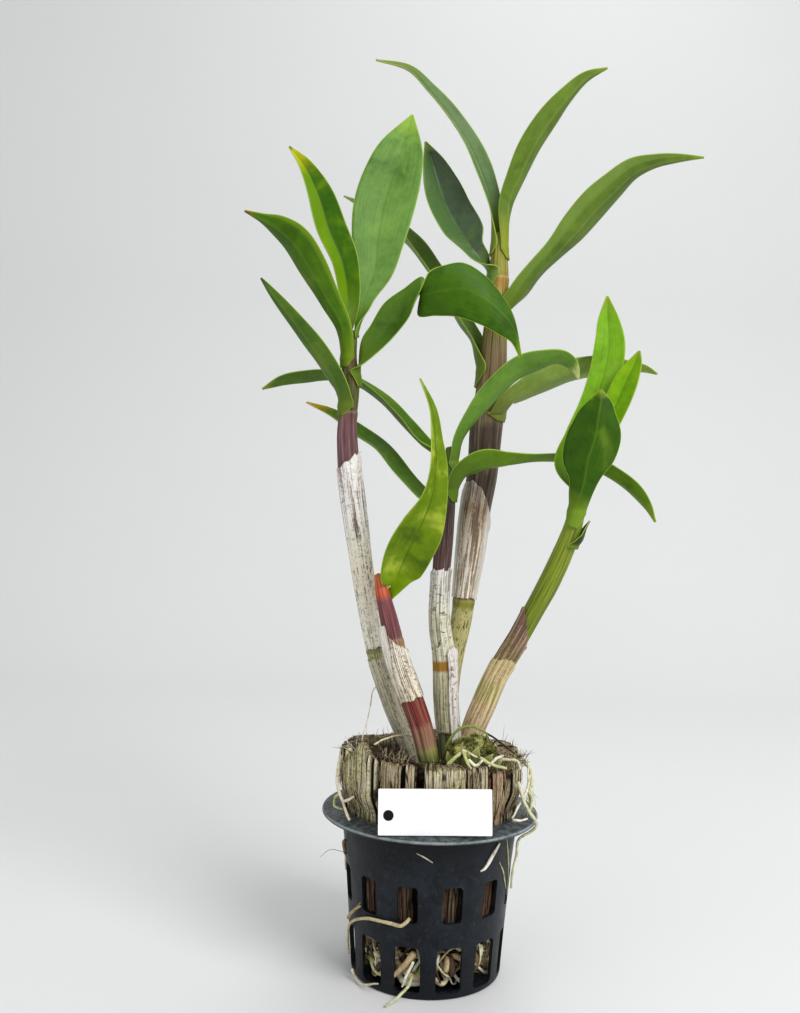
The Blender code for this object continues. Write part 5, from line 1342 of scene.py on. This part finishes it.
# Strays seen one by one: tone, radius, and the route they lie along.
strayRows = [
    (0.72, 0.35, [(-22, 0, 138), (-28.6, -3, 133.5), (-30.4, -6, 124), (-31.8, -10, 117),
        (-33.6, -13, 111)]),
    (0.97, 0.75, [(5.1, -14, 103.2), (6.7, -16, 110.8), (10.2, -17, 116.7), (14.3, -18, 119.9),
        (19.9, -18, 120), (24.7, -17, 117.1), (27.2, -12, 110.4)]),
    (0.88, 1.0, [(5.8, -30, 103.6), (9.4, -29, 108), (13.6, -26, 110.6), (17, -22, 113.4)]),
    (0.66, 0.7, [(13, -27, 111.2), (16.2, -28, 110.2), (19.8, -29, 108.7)]),
    (0.7, 0.8, [(16.1, -31, 107.8), (19.3, -32, 105.4), (22.2, -29, 107.4)]),
    (0.88, 0.8, [(13.5, -28, 110.6), (15.1, -32, 107.1), (16.9, -34, 104.5)]),
    (0.86, 0.9, [(21.3, -28, 108.1), (26.2, -30, 106), (33.5, -31, 104.2)]),
    (0.68, 0.75, [(25.3, -30, 105), (28.5, -29, 108.1), (32.1, -25, 108.6)]),
    (0.66, 0.75, [(30.4, -24, 106.9), (34.5, -25, 106.8), (38.6, -25, 106.4), (40.3, -27, 103.3)]),
    (0.03, 0.45, [(25.2, -12, 116), (30.3, -14, 113.3), (35.3, -16, 110.2), (40.4, -18, 106.1)]),
    (0.03, 0.4, [(24.3, -20, 107.6), (27.2, -18, 110.9), (30.1, -16, 113.3), (34.2, -18, 110.6)]),
    (0.05, 0.35, [(4.6, -24, 107), (7.8, -22, 110.8), (11.6, -20, 112.3)]),
    (0.62, 0.45, [(-27.5, -22, 111.6), (-22.9, -18, 113.2), (-17.4, -14, 113.8),
        (-10.2, -10, 113.1), (-5.4, -12, 110.9)]),
    (0.68, 0.8, [(-40.6, -24, 85.2), (-38.2, -27, 87), (-35.8, -29.4, 89)]),
    (0.87, 0.7, [(-42.6, -19, 87.4), (-44.9, -17, 84.9), (-45.1, -19, 81.7), (-41.2, -23, 81.1)]),
    (0.84, 0.9, [(44.1, -8, 101.8), (46.6, -9, 99.1), (47.4, -11, 94.9), (46.8, -13, 87.3),
        (47.9, -13, 81.4)]),
    (0.7, 0.7, [(46.6, -11, 96.3), (44.8, -16, 90.7), (41, -22, 86.3), (36.5, -30, 81.7)]),
    (0.72, 0.6, [(36.9, -31, 81.1), (40.2, -30, 80.6), (44, -27, 80.6)]),
    (0.86, 0.7, [(45.6, -14, 90.2), (47.2, -15, 85.6), (46, -20, 81.7), (46.6, -18, 80.7)]),
    (0.7, 0.45, [(42.3, -14, 105.7), (45.4, -12, 102), (45.4, -14, 95.8), (46.8, -13, 89.7)]),
    (0.44, 0.8, [(-37.3, -17, 28.7), (-35.4, -21, 33.2), (-31.6, -26.5, 38)]),
    (0.34, 0.5, [(-36.6, -18.5, 30.7), (-33.9, -22.9, 35.2), (-31.6, -26.5, 39.5)]),
    (0.93, 1.1, [(-25.2, -14, 181.0), (-23.6, -14.6, 184.2), (-22.2, -15.2, 186.8)]),
    (0.66, 0.6, [(-34.8, -17, 4.9), (-32.7, -20, 2), (-29.7, -25, 1.6), (-22.3, -34, 6.2)]),
    (0.46, 1.5, [(-6.2, -34, 20.4), (-11.5, -33.6, 14.1), (-15.9, -31.8, 8.6)]),
    (0.74, 0.7, [(-6.7, -35, 17.0), (-9.5, -35.2, 11), (-11.6, -35, 5.6)]),
    (0.05, 0.12, [(-36.6, -22, 59.3), (-41.3, -26, 62.9), (-46.4, -28, 64), (-50.4, -30, 61.4)]),
]
# Scraps stuck to the outside of the wall: tone, radius, and (x, z) along them.
scrapRows = [
    (0.75, 0.85, [(22.6, 58.6), (24.7, 59.6), (27.6, 63.9), (31.4, 69.6)]),
    (0.68, 0.35, [(-6.7, 68.2), (-3.1, 66.5), (0.5, 64.3)]),
    (0.86, 0.35, [(31.8, 59.8), (34, 54.6), (35.1, 49.7), (36.4, 44)]),
    (0.3, 0.9, [(-40.2, 63.4), (-40.9, 60.6), (-40.3, 57.4), (-40.2, 55.1)]),
    (0.68, 0.5, [(-40.2, 56.5), (-39.8, 52.8), (-40.1, 49.6), (-39.6, 46.4)]),
    (0.86, 0.3, [(35.2, 70), (36.6, 60), (37.4, 50), (37.2, 40)]),
]


# Dark bristles and pale wisps that stand on the medium: centre of the patch, its half sizes, how
# many, their length, their tones, and the way they lean.
tuftRows = [
    ((-23, -17, 101.0), (10, 9, 1.0), 240, (4.0, 10.0), (0.02, 0.05, 0.14, 0.36),
        (-0.2, -0.1, 1.0)),
    ((-35, -22, 109.0), (4, 4, 1.5), 34, (3.0, 7.0), (0.02, 0.04, 0.1, 0.74), (-0.6, 0.0, 0.8)),
    ((27, -22, 102.0), (12, 8, 1.5), 170, (3.0, 7.0), (0.02, 0.1, 0.3, 0.86), (0.3, -0.1, 1.0)),
    ((40, -14, 104.0), (4, 8, 1.5), 46, (2.0, 6.0), (0.04, 0.2, 0.6, 0.72), (0.5, -0.2, 0.8)),
    ((-20, -25, 103.5), (8, 3, 1.0), 110, (3.0, 8.0), (0.56, 0.04, 0.66, 0.1), (0.3, -0.3, 1.0)),
    ((46, -9, 86.0), (2.2, 5, 4.5), 44, (3.0, 7.0), (0.84, 0.88, 0.9, 0.62), (0.2, 0.0, -1.0)),
    ((-6, -2, 100.5), (12, 14, 1.0), 130, (2.0, 6.0), (0.02, 0.08, 0.2, 0.44), (0.0, 0.0, 1.0)),
]


straySettings = {"seed": 6, "rootSteps": 32, "scrapSteps": 24, "tuftSteps": 5}


def addStrays():
    settings = straySettings
    draw = np.random.default_rng(settings["seed"])
    shapes = []
    share = shares(settings["rootSteps"])
    for tone, radius, stations in strayRows:
        path = swayed(smoothCurve(stations, share), 0.25, 3.5, 4)
        slim = radius * (1.0 - 0.4 * share**2) * (1.0 + 0.18 * softNoise(path, 2.6, 8))
        path[:, 2] = np.maximum(path[:, 2], slim + 0.2)
        shapes.append(tubeShape(path, slim, 9, tone))
    share = shares(settings["scrapSteps"])
    taper = 1.0 - 0.5 * (2.0 * share - 1.0) ** 2
    for tone, radius, stations in scrapRows:
        x, z = smoothCurve([(x, z, 0.0) for x, z in stations], share)[:, :2].T
        reach = potOuter(z) + 0.6 * radius
        path = np.stack([x, -np.sqrt(np.maximum(reach**2 - x**2, 1.0)), z], -1)
        shapes.append(tubeShape(path, radius * taper, 8, tone))
    addPiece("stray-roots", joinShapes(shapes), strandLook, [])
    shapes = []
    share = shares(settings["tuftSteps"])[:, None]
    for centre, halves, count, lengths, tones, lean in tuftRows:
        for index in range(count):
            start = np.array(centre) + draw.uniform(-1.0, 1.0, 3) * halves
            way = unit(np.array(lean) + draw.normal(0.0, 0.45, 3))
            path = start + way * share * draw.uniform(*lengths)
            path = path + draw.normal(0.0, 1.3, 3) * share**2
            radii = draw.uniform(0.06, 0.15) * np.array([1, 1, 0.9, 0.7, 0.4])
            shapes.append(tubeShape(path, radii, 4, draw.choice(tones)))
    addPiece("husk-bristles", joinShapes(shapes), strandLook, [])


addStrays()


# Young pointed scales in the moss: foot, tip, and half width.
scaleRows = [
    ((11.5, -27.5, 104.5), (13.5, -25.5, 114.6), 1.7),
    ((14.6, -29, 104.2), (15.6, -29, 111.5), 1.3), ((17.2, -28.5, 104.0), (20.6, -27, 113.0), 1.9),
    ((22.5, -27.5, 103.5), (27.4, -26, 109.5), 1.5),
    ((8.2, -26.5, 104.5), (6.4, -25.5, 110.0), 1.2),
    ((26.5, -27.0, 103.0), (31.5, -27, 107.0), 1.3),
]


def scaleShade():
    newShade("scale_look", 0.5)
    ribs = noise(joined(times(mark("across"), 5.0), mark("along"), 0.0), 2.0, 2.0)
    colour = ramp(mark("along"),
                  [(0.0, (62, 70, 26)), (0.5, (112, 122, 54)), (1.0, (178, 176, 118))])
    colour = blend(between(ribs, 0.4, 0.52, 0.6, 0.0), colour, (84, 98, 38))
    return finishShade(colour, 0.2)


scaleSettings = {"along": 14, "across": 9, "thick": 0.3}


# Each scale is a hollow pointed blade that swells and narrows along its run, open to the front.
def addScales():
    settings = scaleSettings
    shapes = []
    along = shares(settings["along"])[:, None]
    across = np.linspace(-1.0, 1.0, settings["across"])[None, :]
    swell = 0.45 + np.sin(np.pi * np.minimum(along * 0.8 + 0.14, 1.0))
    for foot, tip, half in scaleRows:
        foot, tip = np.array(foot, float), np.array(tip, float)
        run = unit(tip - foot)
        side = unit(np.cross(run, (0.0, -1.0, 0.0)))
        out = np.cross(side, run)
        width = half * swell * (1.0 - along**4) + 0.06
        bulge = 0.35 * half * (1.0 - across**2) * (1.0 - 0.5 * along)
        line = foot + (tip - foot) * along[:, :, None]
        grid = line + (across * width)[:, :, None] * side - bulge[:, :, None] * out
        marks = {"across": across + 0 * along, "along": along + 0 * across}
        shapes.append(thickSheet(grid, settings["thick"], marks))
    addPiece("moss-scales", joinShapes(shapes), scaleShade(), [])


addScales()
print("fibres built")


# Pot, in millimetres: wall slots are width, foot and top; floor slots are width and two radii.
potSettings = {
    "steps": 180, "wall": 1.7, "floor": 2.5, "foot": 36.0, "rim": 52.0, "top": 78.5,
    "around": 12, "turn": 15.0, "slots": ((9.5, 35.4, 52.0), (12.0, 3.0, 24.0)),
    "corner": 2.0, "reach": 8.0, "floorAround": 8, "floorSlot": (5.0, 13.0, 30.0),
    "floorCorner": 2.25, "floorReach": (-3.0, 5.0), "crease": 32.0,
}


# Half section of the pot, from the middle of its floor up inside and down outside.
def potSection():
    settings = potSettings
    inner = lambda height: potOuter(height) - settings["wall"]
    floor, foot, rim, top = (settings[key] for key in ("floor", "foot", "rim", "top"))
    return np.array([(0.0, floor), (inner(4.0) - 1.5, floor), (inner(4.0) - 0.4, floor + 0.45),
                     (inner(4.0), 4.0), (inner(25.0), 25.0), (inner(55.0), 55.0),
                     (inner(72.0), 72.0), (inner(77.0) + 0.4, top - 1.2),
                     (inner(78.0) + 0.9, top - 0.3), (inner(78.5) + 1.8, top),
                     (rim - 7.0, top - 0.35), (rim - 4.0, top - 1.0), (rim - 1.0, top - 1.75),
                     (rim - 0.3, top - 2.1), (rim, top - 2.7), (rim - 0.1, top - 3.2),
                     (rim - 0.5, top - 3.55), (rim - 1.2, top - 3.5), (rim - 5.4, top - 2.7),
                     (potOuter(75.0) + 1.2, top - 2.45), (potOuter(75.0) + 0.3, top - 3.3),
                     (potOuter(72.0), 72.0), (potOuter(55.0), 55.0), (potOuter(25.0), 25.0),
                     (foot, 1.5), (foot - 0.4, 0.5), (foot - 1.2, 0.0), (0.0, 0.0),])


# Outline of a rectangle with rounded corners about its middle.
def roundedOutline(width, height, corner):
    turn = np.radians(np.linspace(0.0, 90.0, 7))
    parts = []
    for quarter, (x, y) in enumerate(((1, 1), (-1, 1), (-1, -1), (1, -1))):
        angle = turn + 0.5 * np.pi * quarter
        parts.append(np.stack([x * (0.5 * width - corner) + corner * np.cos(angle),
                               y * (0.5 * height - corner) + corner * np.sin(angle)], -1))
    return np.concatenate(parts)


# Blocks to cut with: one outline at a near and a far depth, turned to each heading.
def slotBlocks(near, far, headings):
    angle = np.radians(headings)[:, None, None]
    both = np.stack([near, far])[None]
    x = both[..., 0] * np.cos(angle) - both[..., 1] * np.sin(angle)
    y = both[..., 0] * np.sin(angle) + both[..., 1] * np.cos(angle)
    points = np.stack([x, y, both[..., 2] + 0.0 * x], -1)
    count = len(near)
    side = np.arange(count)
    after = (side + 1) % count
    base = 2 * count * np.arange(len(headings))[:, None, None]
    sides = base + np.stack([side, after, after + count, side + count], -1)[None]
    caps = base + np.stack([side[::-1], side + count])[None]
    return points.reshape(-1, 3), [sides.reshape(-1, 4), caps.reshape(-1, count)]


# The piece with blocks taken away from it.
def cutAway(piece, blocks):
    cutter = addObject("blocks", meshOf("blocks", *blocks))
    change = piece.modifiers.new("cut", "BOOLEAN")
    change.operation = "DIFFERENCE"
    change.solver = "EXACT"
    change.object = cutter
    bpy.context.view_layer.update()
    graph = bpy.context.evaluated_depsgraph_get()
    mesh = bpy.data.meshes.new_from_object(piece.evaluated_get(graph))
    piece.modifiers.clear()
    piece.data = mesh
    bpy.data.objects.remove(cutter, do_unlink=True)


# Dark blue-black moulded plastic: dusty, with painted shadow on the wall under the flange, the
# flange greyer on top with a painted highlight along its outer edge, and a few short scuffs.
def potShade():
    newShade("pot_look", 0.42)
    spot = place()
    x, y, z = parted(spot)
    reach = reachOf(x, y)
    dust = noise(spot, 75.0, 6.0, 0.7)
    grit = noise(spot, 420.0, 5.0, 0.7)
    colour = blend(between(dust, 0.36, 0.66), (8, 12, 18), (27, 34, 42))
    colour = blend(between(grit, 0.54, 0.68, 0.0, 0.24), colour, (66, 74, 82))
    # painted shadow of the flange, darkest on the wall just under it
    colour = blend(between(z, 0.056, 0.073, 0.0, 0.7), colour, (3, 6, 11))
    colour = blend(between(z, 0.004, 0.034, 0.6, 0.0), colour, (5, 9, 15))
    flange = between(z, 0.0752, 0.0762)
    top = blend(between(grit, 0.4, 0.62), (44, 51, 55), (92, 100, 102))
    colour = blend(times(flange, 0.85), colour, top)
    # painted highlight: a pale line along the flange's outer edge
    edgeHighlight = times(times(between(reach, 0.0511, 0.0516), flange),
                 between(dust, 0.4, 0.56, 0.25, 0.75))
    colour = blend(edgeHighlight, colour, (150, 158, 160))
    scuff = noise(scaled(spot, (1.0, 1.0, 0.3)), 430.0, 3.0)
    colour = blend(times(between(scuff, 0.68, 0.73, 0.0, 0.45), between(dust, 0.5, 0.6)), colour,
                   (122, 132, 142))
    rough = between(dust, 0.3, 0.7, 0.34, 0.56)
    return finishShade(colour, 0.2, plus(noise(spot, 900.0, 3.0), grit), 0.0002, 0.5, rough)


def addPot():
    settings = potSettings
    section = potSection()
    turn = np.arange(settings["steps"]) * 360.0 / settings["steps"]
    rings = polar(turn[None, :], section[1:-1, 0][:, None], section[1:-1, 1][:, None])
    points, faceSets = closedRings(rings, (0.0, 0.0, section[0, 1]), (0.0, 0.0, 0.0))
    pot = addObject("pot-shell", meshOf("pot-shell", points, faceSets))
    headings = settings["turn"] + np.arange(settings["around"]) * 360.0 / settings["around"]
    for width, low, high in settings["slots"]:
        middle = 0.5 * (low + high)
        x, z = roundedOutline(width, high - low, settings["corner"]).T
        sheets = [np.stack([x, 0.0 * x - potOuter(middle) + depth, z + middle], -1)
                  for depth in (-settings["reach"], settings["reach"])]
        cutAway(pot, slotBlocks(*sheets, headings))
    width, near, far = settings["floorSlot"]
    x, y = roundedOutline(width, far - near, settings["floorCorner"]).T
    sheets = [np.stack([x, y - 0.5 * (near + far), 0.0 * x + level], -1)
              for level in settings["floorReach"]]
    headings = np.arange(settings["floorAround"]) * 360.0 / settings["floorAround"]
    cutAway(pot, slotBlocks(*sheets, headings))
    pot.data.shade_smooth()
    pot.data.set_sharp_from_angle(angle=math.radians(settings["crease"]))
    pot.data.materials.clear()
    pot.data.materials.append(potShade())
    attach(pot, "root")
    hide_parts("pot")


addPot()


# Tag: smooth white card with one round black dot at its left end.
tagSettings = {"dot": (0.00475, 0.00864), "dotEdge": (0.00225, 0.00242)}


def tagShade():
    newShade("tag_look", 0.38)
    low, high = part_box("tag")
    across, up = tagSettings["dot"]
    spot = place()
    x, y, z = parted(spot)
    far = reachOf(minus(x, low[0] + across), minus(z, low[2] + up))
    card = blend(between(noise(spot, 90.0), 0.4, 0.7), (248, 249, 249), (242, 243, 244))
    colour = blend(between(far, *tagSettings["dotEdge"], 1.0, 0.0), card, (8, 8, 9))
    return finishShade(colour, 0.2)


tagLook = tagShade()
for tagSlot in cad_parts["tag"].material_slots:
    tagSlot.material = tagLook
print("pot and tag finished")


# Plain pale floor that sweeps up behind, and soft light: a large key lamp at the upper right, a
# weaker one at the left, and an even pale sky.
stageSettings = {
    "front": -5.0, "turn": 0.7, "bend": 0.6, "steps": 25, "top": 4.0, "half": 6.0,
    "sky": 0.56, "skyTone": (250, 251, 252), "aim": (0.0, 0.0, 0.22),
    "lamps": {"key": ((0.95, -1.0, 1.25), 0.9, 23.0), "fill": ((-1.2, -1.1, 0.5), 1.2, 4.0),
              "rim": ((0.35, 0.7, 1.75), 0.9, 7.0)},
}


def addStage(settings):
    bend = settings["bend"]
    angles = np.linspace(0.0, 0.5 * np.pi, settings["steps"])
    y = np.concatenate([[settings["front"]], settings["turn"] + bend * np.sin(angles),
                        [settings["turn"] + bend]])
    z = np.concatenate([[0.0], bend * (1.0 - np.cos(angles)), [settings["top"]]])
    x = np.array([-settings["half"], settings["half"]])
    grid = np.stack(np.broadcast_arrays(x[None, :], y[:, None], z[:, None]), -1)
    mesh = bpy.data.meshes.new("floor")
    mesh.from_pydata(grid.reshape(-1, 3).tolist(), [], gridFaces(len(y), 2).tolist())
    mesh.shade_smooth()
    newShade("floor_look", 0.85)
    colour = blend(noise(place(), 3.0), (220, 221, 221), (224, 225, 224))
    mesh.materials.append(finishShade(colour, 0.2))
    floor = addObject("floor", mesh)
    aim = Vector(settings["aim"])
    for name, (spot, side, power) in settings["lamps"].items():
        data = bpy.data.lights.new(name, "AREA")
        data.shape = "SQUARE"
        data.size = side
        data.energy = power
        lamp = addObject(name, data)
        lamp.location = spot
        lamp.rotation_euler = (aim - Vector(spot)).to_track_quat("-Z", "Y").to_euler()
    world = bpy.data.worlds.new("sky")
    world.use_nodes = True
    ground = world.node_tree.nodes["Background"]
    put(settings["skyTone"], ground.inputs["Color"])
    put(settings["sky"], ground.inputs["Strength"])
    bpy.context.scene.world = world
    bpy.context.scene.view_settings.view_transform = "Standard"


addStage(stageSettings)
print("stage built")
